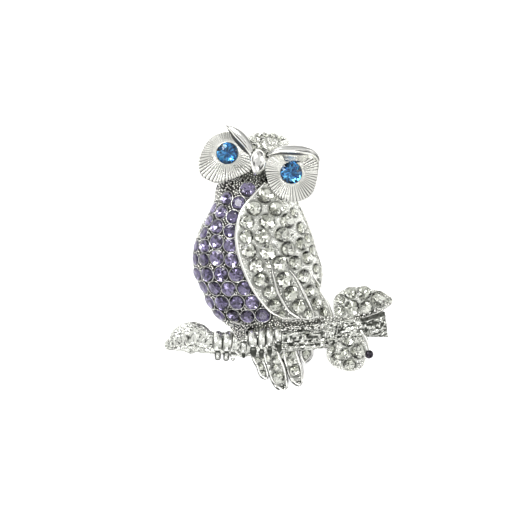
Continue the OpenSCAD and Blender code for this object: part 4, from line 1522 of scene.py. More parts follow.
@dataclass
class OwlHead:
    """Eye discs, brows, beak and forehead."""

    shop: Workshop
    left: PlateSurface = PlateSurface(
        -8.7, 17.6, 6.3, 0.1, 0.02, 0.45,
        ((2, 3.8), (45, 3.7), (75, 3.6), (104, 3.5), (124, 3.6), (148, 3.75), (173, 4.1), (202, 5.1),
         (223, 5.7), (239, 5.5), (249, 5.4), (266, 4.7), (288, 4.4), (311, 4.6), (322, 4.9), (340, 4.3)),
    )
    right: PlateSurface = PlateSurface(
        2.1, 14.35, 7.2, -0.05, 0.03, 0.45,
        ((0, 4.4), (28, 4.9), (63, 4.1), (94, 3.75), (130, 4.25), (155, 4.7), (192, 4.2), (210, 4.3),
         (234, 4.6), (252, 4.7), (271, 4.9), (291, 5.0), (307, 5.0), (324, 4.7), (340, 4.4)),
    )
    nape: PlateSurface = PlateSurface(
        -4.2, 13.6, 6.35, 0.05, 0.34, 0.0, tuple((angle, 9) for angle in (0, 90, 180, 270))
    )
    forehead: DomeSurface = DomeSurface()
    flutes: int = 58  # round each disc
    disc_t: float = 0.9  # thickness of a disc
    eye_r: float = 1.78
    beak_sides: int = 36
    # x, y, height over the back, half width, half thickness
    left_brow: tuple[Row, ...] = (
        (-8.9, 22.1, 6.7, 0.05, 0.05), (-8.4, 21.85, 6.85, 0.3, 0.3), (-7.85, 21.5, 7.05, 0.5, 0.42),
        (-6.95, 20.8, 7.3, 0.78, 0.58), (-5.85, 19.7, 7.55, 0.85, 0.68), (-5.0, 18.45, 7.8, 0.7, 0.65),
        (-4.6, 17.5, 7.8, 0.45, 0.45), (-4.5, 16.9, 7.7, 0.15, 0.2),
    )
    right_brow: tuple[Row, ...] = (
        (-1.95, 17.1, 8.6, 0.14, 0.3), (-0.9, 17.65, 9.0, 0.4, 0.5), (0.2, 18.0, 9.15, 0.58, 0.65),
        (1.6, 18.1, 9.2, 0.68, 0.7), (3.0, 18.08, 9.2, 0.7, 0.7), (4.3, 17.92, 9.1, 0.62, 0.65),
        (5.5, 17.55, 8.75, 0.5, 0.55), (6.2, 16.95, 8.3, 0.4, 0.42), (6.5, 16.3, 7.9, 0.28, 0.3),
        (6.55, 15.8, 7.6, 0.12, 0.15),
    )
    beak_rows: tuple[Row, ...] = (
        (-3.55, 18.1, 8.3, 0.3, 0.4), (-3.45, 17.3, 8.7, 1.1, 0.9), (-3.45, 16.3, 8.8, 1.4, 1.1),
        (-3.55, 15.2, 8.5, 1.2, 1.05), (-3.85, 14.3, 7.9, 0.6, 0.7), (-4.2, 13.75, 7.4, 0.12, 0.2),
    )
    # x, y, radius
    forehead_chart: tuple[Row, ...] = (
        (-2.7, 19.0, 0.85), (-4.15, 19.6, 0.5), (-3.4, 20.45, 0.5), (-2.2, 20.5, 0.5), (-1.0, 20.3, 0.5),
        (0.1, 19.9, 0.45), (-1.2, 19.2, 0.5), (0.0, 19.2, 0.3), (-4.1, 18.6, 0.4),
    )

    def build(self) -> None:
        """Builds every piece of the head."""
        self.core()
        self.disc("eye_disc_left", self.left, 3)
        self.disc("eye_disc_right", self.right, 4)
        self.eye("left", self.left, (0.12, -0.12), (-0.1, 0.0, 1.0))
        self.eye("right", self.right, (-0.1, -0.15), (0.05, 0.0, 1.0))
        self.brows_and_beak()
        self.crown()

    def core(self) -> None:
        """Makes the plain blocks of the head behind the discs and the neck."""
        # x, y, height over the back, radius
        blocks = (
            ((-8.0, 16.6, 0.0, 2.4), (-8.0, 16.6, 5.7, 3.2), (-3.0, 17.6, 0.0, 2.4),
             (-3.0, 17.6, 5.6, 2.2)),
            ((1.8, 14.6, 0.0, 3.2), (1.8, 14.6, 6.6, 3.6), (-3.0, 17.4, 0.0, 2.4), (-3.0, 17.4, 6.0, 2.2)),
            ((-3.2, 16.4, 0.0, 2.2), (-3.2, 16.4, 6.2, 1.3), (-4.4, 13.4, 0.0, 2.2),
             (-4.4, 13.4, 5.2, 1.9)),
        )
        for number, circles in enumerate(blocks):
            work = bmesh.new()
            for x, y, z, r in circles:
                for a in circle(40):
                    work.verts.new(((x + r * math.cos(a)) * MM, (y + r * math.sin(a)) * MM, (BACK + z) * MM))
            bmesh.ops.convex_hull(work, input=work.verts)
            mesh = bpy.data.meshes.new(f"head_core_{number + 1}")
            work.to_mesh(mesh)
            work.free()
            finish_mesh(mesh, 40)
            # Painted shade: the blocks show in the shaded recess under the discs
            mark(mesh, "hollow", 0.55)
            self.shop.dress(piece_of(mesh.name, mesh), self.shop.pebbled, CASTING)
        stipple = scatter(
            self.nape, (-7.5, -1.5, 11.9, 15.5), (0.12, 0.18), 4000, lambda x, y: True,
            NO_STONES, SEED + 3, 2.5,
        )
        # The neck's grains take the dimmed plating as painted shade under the head
        self.shop.set_beads("neck_grains", stipple, self.shop.seated)

    def disc(self, name: str, form: PlateSurface, seed: int) -> None:
        """Makes a fluted eye disc.

        Args:
            name: The piece's name.
            form: Its dished form.
            seed: Seed of its hand-cut flutes.
        """
        rng = np.random.default_rng(seed)
        corners = self.flutes * 10
        a = np.arange(corners) * 360 / corners
        wander = np.interp(a, np.linspace(0, 360, 30), np.append(rng.uniform(-1, 1, 29), 0)) * 1.6
        phase = (a + wander) * self.flutes / 360
        cut = 1 - np.exp(-((np.sin(math.pi * phase) / 0.33) ** 2))
        number = np.floor(phase).astype(int) % self.flutes
        deep = rng.uniform(0.6, 1.15, self.flutes)[number]
        start = rng.uniform(1.75, 2.15, self.flutes)[number]
        # The flutes are cut shallower towards the upper left, and there their grooves take less painted
        # shade, as painted light from that side
        deep = deep * (1.08 - 0.6 * np.clip(np.cos(np.radians(a - 135)), 0, 1) ** 2)
        swell = 1 + 0.022 * (cut - 0.6)
        rings, hollow = [], []
        for share in (0.05, 0.24, 0.3, *np.linspace(0.33, 0.97, 24), 1.0):
            out = share * form.reach(a) * swell
            fade = ease(out, start, start + 0.5)
            flute = 0.17 * deep * fade * (0.55 + 0.45 * share) * (1 - cut)
            edge = 0.1 * ease(share, 0.95, 1.0) + 0.75 * (1 - ease(out, 1.3, 1.8))
            rings.append(form.ring(share * swell, a, flute + edge))
            hollow.append(np.clip((1 - cut) * deep * fade, 0, 1))
        rim, dark = rings[-1], hollow[-1]
        for drop in (0.45, 1.0):
            rings.append(rim - [0, 0, drop * self.disc_t])
            hollow.append(dark * (1 - drop))
        for share in (0.6, 0.05):
            rings.append(form.ring(share * swell, a, self.disc_t))
            hollow.append(0 * dark)
        self.shop.dress(tube_mesh(name, np.stack(rings), np.stack(hollow), 60), self.shop.fluted, CASTING)

    def eye(self, side: str, form: PlateSurface, shift: Row, facing: Row) -> None:
        """Sets an eye stone in its cup, a little off its disc's middle.

        Args:
            side: Left or right.
            form: The disc.
            shift: How far off the middle the stone sits.
            facing: Which way it faces.
        """
        normal = unit(np.array([facing]))
        place = np.array([[form.x + shift[0], form.y + shift[1], BACK + form.top + 0.15]])
        stone = Stones(place, normal, np.array([self.eye_r]))
        self.shop.set_stones(f"eye_stone_{side}", stone, Slot.BLUE, 0.0, 0.3, 0.9)
        # beyond the stone's radius, height: the cup's cross-section from its lip down its outside
        section = ((0.03, -0.25), (0.03, 0.03), (0.06, 0.07), (0.1, 0.03), (0.12, -0.1), (0.15, -0.9))
        rows = ((0.4, -1.3), *((self.eye_r + out, z) for out, z in section), (0.4, -1.5))
        a = circle(56)
        rings = []
        for r, z in rows:
            x, y = r * np.cos(a), r * np.sin(a)
            rings.append(place[0] + points_of(x, y, z - normal[0, 0] * x - normal[0, 1] * y))
        self.shop.dress(tube_mesh(f"eye_cup_{side}", np.stack(rings), crease=50), self.shop.wired, CASTING)

    def brows_and_beak(self) -> None:
        """Makes the two polished brows and the ridged beak."""
        # Skirt corners give side, up and painted shade; the left brow's skirt is painted dark as the shade
        # under it
        for name, rows, skirt, fade in (
            ("brow_left", self.left_brow, ((1.35, -0.6, 0.9), (1.6, -1.3, 0.9), (1.4, -2.4, 0.6)), 0.0),
            ("brow_right", self.right_brow, (
                (1.62, -0.71, 0.0), (2.2, -1.46, 0.0), (2.8, -2.14, 0.0), (3.2, -2.61, 0.2),
                (2.6, -3.3, 0.3),
            ), 0.6),
        ):
            profile, stations = self.brow_profile(skirt), 60
            rings = sweep(spread(rows, stations), profile[:, :2])
            # fade lightens the brow's darkest painted shade along its far part
            along = 1 - fade * ease(np.linspace(0, 1, stations), 0.45, 0.8)
            tone = profile[:, 2] * np.where(profile[:, 2] > 0.5, along[:, None], 1.0)
            self.shop.dress(tube_mesh(name, rings, tone, 50), self.shop.polished, CASTING)
        rings = sweep(spread(self.beak_rows, 50), round_profile(self.beak_sides))
        beak = tube_mesh("beak", rings, np.broadcast_to(self.beak_tone(), rings.shape[:2]), 50)
        self.shop.dress(beak, self.shop.wired, CASTING)

    @staticmethod
    def brow_profile(skirt: tuple[Row, ...]) -> Array:
        """Gives a brow's cross-section.

        Args:
            skirt: Corners of its smooth skirt towards the eye, with their painted shade.

        Returns:
            Side, up and painted shade of each corner: dark along the lower crease, grey on the crest as
            painted reflection.
        """
        rows = (
            (-0.2, 1.0, 0.34), (0.2, 0.98, 0.2), (0.5, 0.86, 0.0), (0.75, 0.66, 0.0), (0.92, 0.4, 0.1),
            (1.02, 0.1, 0.85), (1.15, -0.11, 0.95), *skirt,
            (-0.8, -3.3, 0.2), (-1.0, -0.3, 0.5), (-1.0, 0.1, 0.1), (-0.9, 0.5, 0.34), (-0.7, 0.8, 0.42),
            (-0.45, 0.95, 0.4),
        )
        return faceted_profile(rows, 3)

    def beak_tone(self) -> Array:
        """Gives how dark each corner of the beak's cross-section is: a grey crest as painted reflection and
        dark flanks as painted shade.
        """
        a = circle(self.beak_sides)
        off = np.minimum(a, 2 * math.pi - a)
        return 0.3 * np.exp(-((off / 0.45) ** 2)) + 0.8 * ease(off, 1.25, 1.6)

    def crown(self) -> None:
        """Makes the forehead with its small stones and grains."""
        f = self.forehead
        stones = Stones.on(f, self.forehead_chart)
        a = circle(120)
        rings = [f.ring(share, a) for share in (0.02, *np.linspace(0.08, 0.97, 24))]
        foot = points_of(f.x + 0.1 * np.cos(a), f.y + 0.1 * np.sin(a), BACK + f.base - 2.2)
        pressed, near = sink(np.stack([*rings, rings[-1] - [0, 0, 2.0], foot]), stones)
        self.shop.cast(tube_mesh("forehead", pressed, 0.05 * near, 60), self.shop.barky, 0.04, 3.0)
        self.shop.set_stones("forehead_stones", stones, Slot.CLEAR, shadow=0.2, calm=4.0)
        self.shop.set_collars("forehead_collars", stones, self.shop.beaded)
        grains = scatter(
            f, (-6.8, 1.8, 17.2, 21.0), (0.14, 0.24), 6000, lambda x, y: f.share(x, y) < 0.97,
            stones, SEED + 2, 2.0,
        )
        self.shop.set_beads("forehead_grains", grains)


# Branch, feet, leaves and tail


@dataclass
class Perch:
    """Branch with its bark, the feet that grip it and the twig with its ball."""

    shop: Workshop
    # x, y, height over the back, half width, half thickness
    rows: tuple[Row, ...] = (
        (-18.9, -14.7, 3.3, 0.5, 0.6), (-17.5, -14.1, 3.4, 1.35, 1.3), (-16.3, -13.5, 3.5, 2.1, 1.7),
        (-14.8, -13.2, 3.6, 2.6, 1.9), (-13.6, -13.3, 3.6, 2.4, 1.9), (-12.3, -13.8, 3.6, 1.95, 1.8),
        (-11.2, -14.1, 3.6, 1.7, 1.8), (-9.0, -14.2, 3.6, 1.75, 1.8), (-6.0, -14.6, 3.5, 1.7, 1.9),
        (-4.2, -14.1, 3.5, 2.0, 1.95), (-1.5, -13.6, 3.6, 2.05, 2.05), (1.8, -13.3, 3.6, 2.0, 2.05),
        (5.2, -13.1, 3.6, 2.0, 2.0), (8.2, -12.7, 3.5, 1.9, 1.9), (10.2, -12.0, 3.4, 1.7, 1.8),
        (13.0, -11.5, 3.3, 1.35, 1.7), (15.5, -11.3, 3.4, 1.7, 1.7), (17.9, -11.0, 3.5, 2.05, 1.8),
    )
    # x of root and claw, first and last angle round the branch, width, how far the claw stands off
    toes: tuple[Row, ...] = (
        (-10.2, -10.2, 80, -100, 0.84, 0.95), (-8.35, -8.9, 80, -100, 0.82, 0.95),
        (-7.6, -7.7, -35, -95, 0.52, 0.7), (-5.9, -5.9, 20, -60, 0.52, 0.6),
        (-4.5, -4.2, 75, -66, 0.84, 0.6), (-2.75, -3.0, 85, -95, 0.66, 0.6),
        (-1.55, -1.55, 85, -85, 0.63, 0.6), (-0.35, 0.1, 88, -64, 0.66, 0.6),
    )
    # share of the toe's length, share of its width
    toe_form: tuple[Row, ...] = (
        (0, 0.6), (0.08, 0.85), (0.3, 1.0), (0.5, 1.0), (0.6, 0.8), (0.66, 0.45), (0.73, 0.62), (0.82, 0.6),
        (0.92, 0.4), (1.0, 0.12),
    )
    twig_rows: tuple[Row, ...] = (
        (12.9, -10.9, 3.0, 0.4, 0.4), (13.8, -12.2, 4.6, 0.36, 0.36), (14.7, -14.0, 4.9, 0.33, 0.33),
        (15.05, -15.3, 4.9, 0.3, 0.3),
    )
    knot: PlateSurface = PlateSurface(
        9.9, -11.6, 5.0, 0.0, 0.0, -1.2,
        ((0, 2.3), (30, 2.5), (60, 2.4), (90, 2.0), (120, 2.0), (150, 3.1), (180, 2.4), (210, 2.4),
         (240, 2.4), (270, 1.1), (300, 1.2), (330, 1.8)),
    )
    # x, y, height over the back, radius
    ball: tuple[float, float, float, float] = (15.0, -15.95, 4.9, 0.74)
    fullness: float = 0.62  # power of the branch's cross-section, under 1 to be fuller than a circle

    def build(self) -> None:
        """Builds every piece of the perch."""
        self.branch()
        self.knot_skin()
        self.feet()
        self.twig()

    def read(self, x: Array | float, index: int) -> Array:
        """Reads a column of the branch's table at x."""
        return smooth(column(self.rows, 0), column(self.rows, index), x)

    def branch(self) -> None:
        """Makes the branch, deeply barked in its right half and finely grained at its left end."""
        stations = spread(self.rows, 360)
        profile = round_profile(110, self.fullness)
        x, down = stations[:, :1], profile[None, :, 0]
        # Painted shade along the upper edge where the belly hangs over the branch and along the lower edge;
        # the stub at the right end is darker, most on its top
        upper = 0.52 * ease(-down, 0.3, 0.8) * ease(x, -2.5, -1.5) * ease(-x, -9.0, -5.0)
        stub = ease(x, 13.2, 14.2) * (0.06 + 0.42 * ease(-down, 0.5, 0.75))
        tone = 0.14 + 0.24 * ease(down, 0.75, 1.0) + stub + upper
        branch = tube_mesh("branch", sweep(stations, profile), tone, 60)
        shop = self.shop
        # from x, to x, depth, stretch, contrast, lean, slant
        for start, stop, depth, stretch, contrast, lean, slant in (
            (-1.0, 14.2, 0.2, (0.62, 2.7, 2.7), 12.0, -0.1, 0.0),
            (-1.0, 14.2, 0.05, (1.7, 5.2, 5.2), 8.0, 0.2, 0.0),
            (14.0, 30.0, 0.16, (0.8, 2.8, 2.8), 14.0, -0.3, 0.3),
            (-30.0, -0.8, 0.1, (1.6, 4.5, 4.5), 12.0, 0.55, 0.0),
            (-30.0, -0.8, 0.05, (3.5, 6.0, 6.0), 7.0, 0.3, 0.0),
        ):
            x = np.array([v.co[0] for v in branch.data.vertices]) / MM
            begun, ended = ease(x, start - 0.4, start + 0.4), ease(-x, -stop - 0.4, -stop + 0.4)
            mark(branch.data, "rough", begun * ended)
            grain = {"Contrast": contrast, "Lean": lean, "Slant": slant}
            shop.roughen_skin(branch, shop.barky, depth, stretch, 75, **grain)
        shop.keep(branch, Slot.PLATE, CASTING)
        # Grains of the belly that run on over the branch
        rng = np.random.default_rng(SEED + 12)
        count = 240
        x, turn = rng.uniform(-1.4, 7.5, count), np.radians(rng.uniform(28, 80, count))
        up, out = np.sin(turn), np.cos(turn)
        y = self.read(x, 1) + (self.read(x, 3) + 0.05) * up**self.fullness
        z = BACK + self.read(x, 2) + (self.read(x, 4) + 0.05) * out**self.fullness
        grains = Stones(points_of(x, y, z), points_of(0, up, out), rng.uniform(0.12, 0.2, count))
        shop.set_beads("branch_grains", grains)

    def knot_skin(self) -> None:
        """Makes the pebbled knot that joins the branch to its leaves."""
        rib_x = 9.25
        rings = self.knot.skin(120, 24, 3.6, 5.0)
        knot = tube_mesh("branch_knot", rings, np.full(rings.shape[:2], 0.5), 60)
        self.shop.cast(knot, self.shop.barky, 0.1, 1.8, Detail=3.0)
        grains = scatter(
            self.knot, (6.6, 12.6, -14.2, -9.0), (0.16, 0.28), 6000,
            lambda x, y: self.knot.share(x, y) < 0.98
            and not (abs(x - rib_x) < 0.42 and -12.95 < y < -11.1),
            NO_STONES, SEED + 7, 2.1,
        )
        self.shop.set_beads("knot_grains", grains)
        y = np.linspace(-11.2, -12.85, 8)
        self.shop.string_beads("knot_ribs", self.knot.points(rib_x, y), 0.28, 0.38)

    def feet(self) -> None:
        """Makes the toes with their claws and the legs above them."""
        corners, stations = 20, 46
        profile = round_profile(corners)
        around = circle(corners)
        t = np.linspace(0, 1, stations)
        knuckle = smooth(column(self.toe_form, 0), column(self.toe_form, 1), t)
        for number, (root, claw, first, last, wide, off) in enumerate(self.toes):
            angle = np.radians(np.linspace(first, last, stations))
            x = root + (claw - root) * t
            stand = 0.2 + (off - 0.2) * ease(t, 0.62, 0.85)
            y = self.read(x, 1) + (self.read(x, 3) + stand) * np.sin(angle)
            z = self.read(x, 2) + (self.read(x, 4) + stand) * np.cos(angle)
            rows = np.stack([x, y, z, wide * knuckle, 0.5 * knuckle], 1)
            # The claws of the outer foot are as light as its toes, the others dark; painted shade darkens
            # the crease between pad and claw, the root and the flanks of each toe
            nail = (0.2 if number < 3 else 0.7) * ease(t, 0.68, 0.74) + 0.6 * ease(t, 0.77, 0.85)
            dark = 0.95 * np.exp(-(((t - 0.66) / 0.035) ** 2)) + nail + 0.6 * ease(-t, -0.14, -0.04)
            edge = 0.7 - 0.3 * ease(t, 0.66, 0.72)[:, None]
            flank = 0.15 + 0.75 * ease(np.minimum(around, 2 * math.pi - around) - edge, 0.0, 0.6)
            hollow = np.clip(np.maximum(dark[:, None], flank), 0, 1)
            rings = sweep(rows, profile, np.array([-1.0, 0.0, 0.0]))
            toe = tube_mesh(f"toe_{number + 1}", rings, hollow, 60)
            self.shop.cast(toe, self.shop.barky, 0.04, (1.5, 2.5, 2.5))

    def twig(self) -> None:
        """Makes the smooth twig and the ball at its end, whose plating is painted dark as a reflection."""
        line = spread(self.twig_rows, 40)
        wire = 0.36
        path = line[:, :3] + [0, 0, BACK]
        self.shop.draw_wires("twig", [path], wire, self.shop.polished, [line[:, 3] / wire])
        x, y, z, r = self.ball
        turn, a = np.linspace(0.04, math.pi - 0.04, 24)[:, None], circle(40)
        out = r * np.sin(turn)
        rings = points_of(x + out * np.cos(a), y + out * np.sin(a), BACK + z + r * np.cos(turn))
        self.shop.dress(tube_mesh("twig_ball", rings, crease=60), self.shop.ball_plate, CASTING)


@dataclass
class Leaf:
    """Domed leaf with stones and a beaded edge."""

    shop: Workshop
    name: str
    form: PlateSurface
    chart: tuple[Row, ...]
    beaded: tuple[float, float]  # angles between which beads stand on the edge
    rim: tuple[float, float] | None = None  # angles between which it is smooth
    # x, y, radius
    bosses: tuple[Row, ...] = ()
    thick: float = 1.6

    def in_rim(self, x: float, y: float) -> bool:
        """Says whether a place lies in the angles that have a smooth rim."""
        angle = math.degrees(math.atan2(y - self.form.y, x - self.form.x)) % 360
        return self.rim is not None and self.rim[0] < angle < self.rim[1]

    def build(self) -> None:
        """Builds the leaf, its stones, its edge and its grains."""
        stones = Stones.on(self.form, self.chart)
        self.skin(stones)
        self.shop.set_stones(f"{self.name}_stones", stones, Slot.CLEAR, shadow=0.8, calm=6.0)
        self.shop.set_collars(f"{self.name}_collars", stones)
        self.edges()
        f = self.form
        grains = scatter(
            f, (f.x - 5.5, f.x + 5.5, f.y - 4.5, f.y + 4.5), (0.13, 0.22), 9000,
            lambda x, y: f.share(x, y) < (0.7 if self.in_rim(x, y) else 0.97), stones, SEED + 5, 2.0,
        )
        self.shop.set_beads(f"{self.name}_grains", grains)

    def skin(self, stones: Stones) -> None:
        """Makes the leaf's metal with a seat for each stone, dark along a smooth rim."""
        corners, step = 150, 2.4
        degrees = np.arange(corners) * step
        shares = np.array([0.02, *np.linspace(0.1, 1.0, 30)])
        top = np.stack([self.form.ring(s, degrees, 0.12 * ease(s, 0.93, 1.0)) for s in shares])
        pressed, near = sink(top, stones)
        foot = [self.form.ring(s, degrees, self.thick) for s in (0.98, 0.5, 0.02)]
        rings = np.concatenate([pressed, [self.form.ring(1.0, degrees, 0.6), *foot]])
        dark = np.zeros_like(near)
        if self.rim:
            first, last = self.rim
            across = np.exp(-(((shares - 0.83) / 0.15) ** 2))[:, None]
            dark = 0.72 * across * ease(degrees, first, first + 12) * ease(-degrees, -last, 12 - last)
        hollow = np.concatenate([np.clip(0.12 + 0.26 * near + dark, 0, 1), np.full((4, corners), 0.4)])
        leaf = tube_mesh(self.name, rings, hollow, 60)
        self.shop.cast(leaf, self.shop.barky, 0.09, 2.6, **WORN)

    def edges(self) -> None:
        """Strings beads along the leaf's edge, and adds its smooth rim and its bosses if it has them."""
        shop, form = self.shop, self.form
        for part, first, last, share, size, space in (
            ("milgrain", *self.beaded, 0.9, 0.21, 0.42), ("edge_beads", 0, 360, 0.99, 0.17, 0.36)
        ):
            line = form.ring(share, np.linspace(first, last, 160), 0.05)
            shop.string_beads(f"{self.name}_{part}", line, size, space)
        if self.rim:
            rim = form.ring(1.0, np.linspace(*self.rim, 60))
            shop.draw_wires(f"{self.name}_rim", [rim], 0.2, shop.polished)
        if self.bosses:
            x, y, r = np.array(self.bosses).T
            shop.set_beads(f"{self.name}_bosses", Stones(form.points(x, y), form.normal(x, y), r))


@dataclass
class Tail:
    """Four long feathers behind the branch."""

    shop: Workshop
    thick: float = 0.75
    shown_from: float = -14.6  # y where the feathers come out from under the branch
    # x, y, height over the back, half width
    feathers: tuple[tuple[Row, ...], ...] = (
        ((-1.3, -11.6, 0.9, 1.1), (-1.4, -14.0, 0.9, 1.3), (-1.2, -16.1, 0.3, 1.45),
         (-0.35, -18.6, -0.9, 1.6), (0.05, -20.1, -1.75, 1.45), (0.5, -21.25, -2.4, 1.2),
         (0.75, -21.85, -2.65, 0.8), (0.75, -22.15, -2.7, 0.3)),
        ((1.4, -11.6, 0.9, 1.0), (1.6, -13.6, 0.9, 1.1), (1.85, -15.6, 0.5, 1.3), (2.6, -18.3, -0.7, 1.4),
         (2.95, -19.7, -1.6, 1.3), (3.2, -20.5, -2.1, 1.05), (3.4, -21.0, -2.3, 0.7),
         (3.5, -21.25, -2.4, 0.3)),
        ((4.2, -11.6, 0.8, 1.0), (4.4, -13.6, 0.8, 1.1), (4.6, -15.3, 0.5, 1.2), (4.55, -16.5, 0.1, 1.0),
         (4.35, -17.4, -0.2, 0.35)),
        ((-4.0, -11.6, 0.7, 0.9), (-3.9, -14.6, 0.6, 1.0), (-3.45, -16.9, -0.3, 1.0),
         (-2.95, -17.9, -0.8, 0.95), (-2.55, -19.2, -1.3, 0.9), (-2.3, -19.8, -1.55, 0.7),
         (-2.1, -20.2, -1.7, 0.3)),
    )
    # feather, x, y, radius
    chart: tuple[Row, ...] = (
        (0, -1.85, -16.75, 0.75), (0, -0.5, -16.9, 0.7), (0, -0.2, -20.0, 1.05), (0, -0.55, -18.3, 0.6),
        (1, 1.05, -16.15, 0.6), (1, 2.35, -16.15, 0.6), (1, 1.75, -17.4, 0.65), (1, 2.67, -18.9, 1.0),
        (2, 4.6, -16.1, 0.8), (3, -3.6, -17.1, 0.55), (3, -3.0, -18.25, 0.5), (3, -2.75, -19.25, 0.55),
    )

    def build(self) -> None:
        """Builds the feathers, their rims and their stones."""
        shop = self.shop
        side = ((0.8, 0.75), (1.0, 0.35), (1.0, -0.6), (0.8, -0.9))
        profile = faceted_profile((*((-x, z) for x, z in side), *side[::-1]), 4)
        lit = (profile[:, 1] > 0.6).astype(float)
        sets, rims, stations = [], [], 70
        for number, rows in enumerate(self.feathers):
            surface = FeatherSurface(rows, self.thick * 0.75)
            stones = Stones.on(surface, [row[1:] for row in self.chart if row[0] == number])
            line = spread([(*row, self.thick) for row in rows], stations)
            rings, near = sink(sweep(line, profile), stones)
            # Painted shade on each feather's sides below its top; darker towards its tip and round each seat
            tip = 0.5 * ease(np.linspace(0, 1, stations), 0.86, 0.93)[:, None]
            hollow = np.maximum(0.16 + 0.35 * near + tip, 0.85 * (profile[:, 1] < 0.6))
            feather = tube_mesh(f"tail_feather_{number + 1}", rings, hollow, 50)
            rough = carry(feather, rings, np.tile(lit, (stations, 1)))
            shop.cast(feather, shop.barky, 0.07, 2.6, rough, **WORN)
            grains = scatter(
                surface, (-5.5, 6.0, rows[-1][1], self.shown_from), (0.13, 0.2), 6000,
                lambda x, y, line=line: abs(x - smooth(line[:, 1], line[:, 0], y))
                < smooth(line[:, 1], line[:, 3], y) * 0.8,
                stones, SEED + 6,
            )
            shop.set_beads(f"tail_grains_{number + 1}", grains)
            shown = line[line[:, 1] < self.shown_from]
            path = shown[:, :3] + [0, 0, BACK + self.thick * 0.7]
            half = np.maximum(shown[:, 3:4] - 0.28, 0.1) * [1, 0, 0]
            rims.append(np.concatenate([path - half, (path + half)[::-1]]))
            sets.append(stones)
        shop.draw_wires("tail_rims", rims, 0.22, shop.polished)
        stones = Stones.joined(*sets)
        shop.set_stones("tail_stones", stones, Slot.CLEAR, shadow=0.8, calm=6.0)
        shop.set_collars("tail_collars", stones)


@dataclass
class PinBack:
    """Pin finding, which keeps its own solid."""

    shop: Workshop

    def build(self) -> None:
        """Gives the solid its steel."""
        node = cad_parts["pin_back"]
        node.data.materials.clear()
        node.data.materials.append(self.shop.steel)
        LOG.info("pin_back: kept as packed")


@dataclass
class Studio:
    """Pale floor, soft lights and the camera over the brooch."""

    floor_half: float = 1.5  # metres
    pixels: int = 512
    pixels_per_mm: float = 6.0
    # pixel of the picture over which the brooch's origin lies
    origin_pixel: tuple[float, float] = (279.0, 258.5)
    middle_height: float = 8.0  # height over the floor at which the scale holds
    lens: float = 250.0
    sky_level: float = 1.0
    # dark cards: degrees round from +X, degrees down from overhead, reach in degrees, brightness
    cards: tuple[Row, ...] = (
        (0, 0, 5, 0.45), (25, 52, 17, 0.08), (205, 58, 15, 0.12), (100, 48, 12, 0.18), (285, 50, 14, 0.08),
        (150, 30, 8, 0.25), (330, 33, 8, 0.15), (240, 26, 6, 0.3), (60, 80, 22, 0.1), (170, 84, 18, 0.1),
        (310, 84, 24, 0.1),
    )

    def build(self) -> None:
        """Builds the floor, the lights and the camera."""
        self.floor()
        self.sky()
        self.lights()
        self.camera()

    def floor(self) -> None:
        """Lays the floor."""
        mesh = bpy.data.meshes.new("floor")
        s = self.floor_half
        mesh.from_pydata([(-s, -s, 0), (s, -s, 0), (s, s, 0), (-s, s, 0)], [], [(0, 1, 2, 3)])
        mesh.materials.append(Paper("floor_paper").material())
        piece_of("floor", mesh)

    def sky(self) -> None:
        """Lights the room evenly, with a few dark cards for the metal to mirror."""
        world = bpy.data.worlds.new("studio")
        world.use_nodes = True
        bpy.context.scene.world = world
        tree = Tree(world.node_tree)
        way = tree.add("ShaderNodeTexCoord").outputs["Generated"]
        value: object = self.sky_level
        for around, down, reach, bright in self.cards:
            a, d = math.radians(around), math.radians(down)
            aim = (math.sin(d) * math.cos(a), math.sin(d) * math.sin(a), math.cos(d))
            rim, core = (math.cos(math.radians(reach * share)) for share in (1.25, 0.8))
            value = tree.mix(tree.ramp(tree.vector("DOT_PRODUCT", way, aim), rim, core), value, bright)
        tree.fill(world.node_tree.nodes["Background"], {"Color": (1, 1, 1, 1), "Strength": value})

    def lights(self) -> None:
        """Hangs the soft lamps."""
        # name, place in metres, size, watts
        for name, place, size, power in (
            ("key", (-0.22, 0.24, 0.34), 0.16, 0.9),
            ("fill", (0.3, 0.1, 0.3), 0.2, 0.3),
            ("low", (-0.05, -0.32, 0.22), 0.14, 0.2),
        ):
            data = bpy.data.lights.new(name, "AREA")
            data.size = size
            data.energy = power
            lamp = bpy.data.objects.new(name, data)
            lamp.location = place
            lamp.rotation_mode = "QUATERNION"
            lamp.rotation_quaternion = (-Vector(place)).to_track_quat("-Z", "Y")
            bpy.context.scene.collection.objects.link(lamp)

    def camera(self) -> None:
        """Looks straight down, so that the brooch lies in the picture as it does in the photograph."""
        data = bpy.data.cameras.new("camera")
        data.lens = self.lens
        wide = self.pixels / self.pixels_per_mm * MM
        distance = wide * data.lens / data.sensor_width
        x = (self.pixels / 2 - self.origin_pixel[0]) / self.pixels_per_mm
        y = (self.origin_pixel[1] - self.pixels / 2) / self.pixels_per_mm
        camera = bpy.data.objects.new("camera", data)
        camera.location = (x * MM, y * MM, self.middle_height * MM + distance)
        data.clip_start = 0.01
        bpy.context.scene.collection.objects.link(camera)
        bpy.context.scene.camera = camera
        bpy.context.scene.view_settings.view_transform = "Standard"


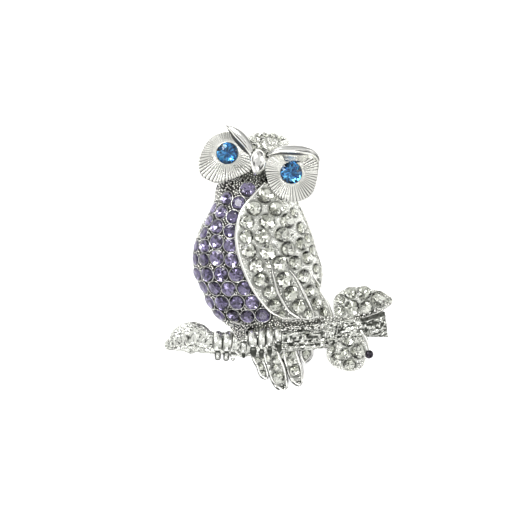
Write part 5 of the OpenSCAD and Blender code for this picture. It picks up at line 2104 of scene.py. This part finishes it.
UPPER_LEAF = PlateSurface(
    13.8, -7.6, 4.9, 0.0, 0.06, -0.9,
    ((0, 4.9), (9, 5.2), (19, 4.6), (39, 3.5), (62, 2.9), (103, 2.95), (133, 3.5), (149, 4.0), (162, 4.45),
     (172, 4.6), (188, 4.7), (208, 4.8), (225, 4.0), (255, 2.6), (283, 2.3), (325, 2.8), (348, 3.9)),
)
LOWER_LEAF = PlateSurface(
    11.2, -15.3, 4.4, 0.0, 0.05, -0.9,
    ((17, 3.3), (62, 3.9), (90, 3.5), (115, 3.9), (151, 3.1), (183, 3.2), (207, 3.4), (223, 3.4),
     (246, 3.35), (264, 3.35), (286, 3.6), (306, 3.9), (341, 3.5)),
)
UPPER_LEAF_CHART = (
    (10.2, -6.8, 0.8), (11.9, -6.0, 0.95), (14.2, -5.8, 1.05), (16.5, -6.9, 1.15), (18.15, -7.0, 0.45),
    (12.2, -8.0, 1.1), (14.4, -7.9, 1.0), (10.4, -8.6, 0.8),
)
UPPER_LEAF_BOSSES = (
    (13.3, -9.42, 0.33), (14.2, -9.33, 0.34), (15.12, -9.05, 0.34), (15.98, -8.75, 0.33),
    (16.75, -8.42, 0.3),
)
LOWER_LEAF_CHART = (
    (11.35, -13.95, 1.0), (9.95, -13.1, 0.85), (13.0, -15.25, 1.25), (9.85, -16.7, 0.97),
    (11.8, -17.75, 1.0), (10.9, -15.55, 0.6), (8.85, -15.2, 0.55),
)


def write_sizes() -> None:
    """Brings the scene's placements up to date."""
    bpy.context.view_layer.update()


def main() -> None:
    """Builds the brooch and the studio round it."""
    logging.basicConfig(level=logging.INFO, format="%(message)s")
    shop = Workshop()
    assemblies = (
        OwlBody(shop),
        OwlHead(shop),
        Perch(shop),
        Leaf(shop, "upper_leaf", UPPER_LEAF, UPPER_LEAF_CHART, (-120, 75), (243, 345), UPPER_LEAF_BOSSES),
        Leaf(shop, "lower_leaf", LOWER_LEAF, LOWER_LEAF_CHART, (150, 400)),
        Tail(shop),
        PinBack(shop),
        Studio(),
    )
    for assembly in assemblies:
        assembly.build()
    write_sizes()


if __name__ == "__main__":
    main()
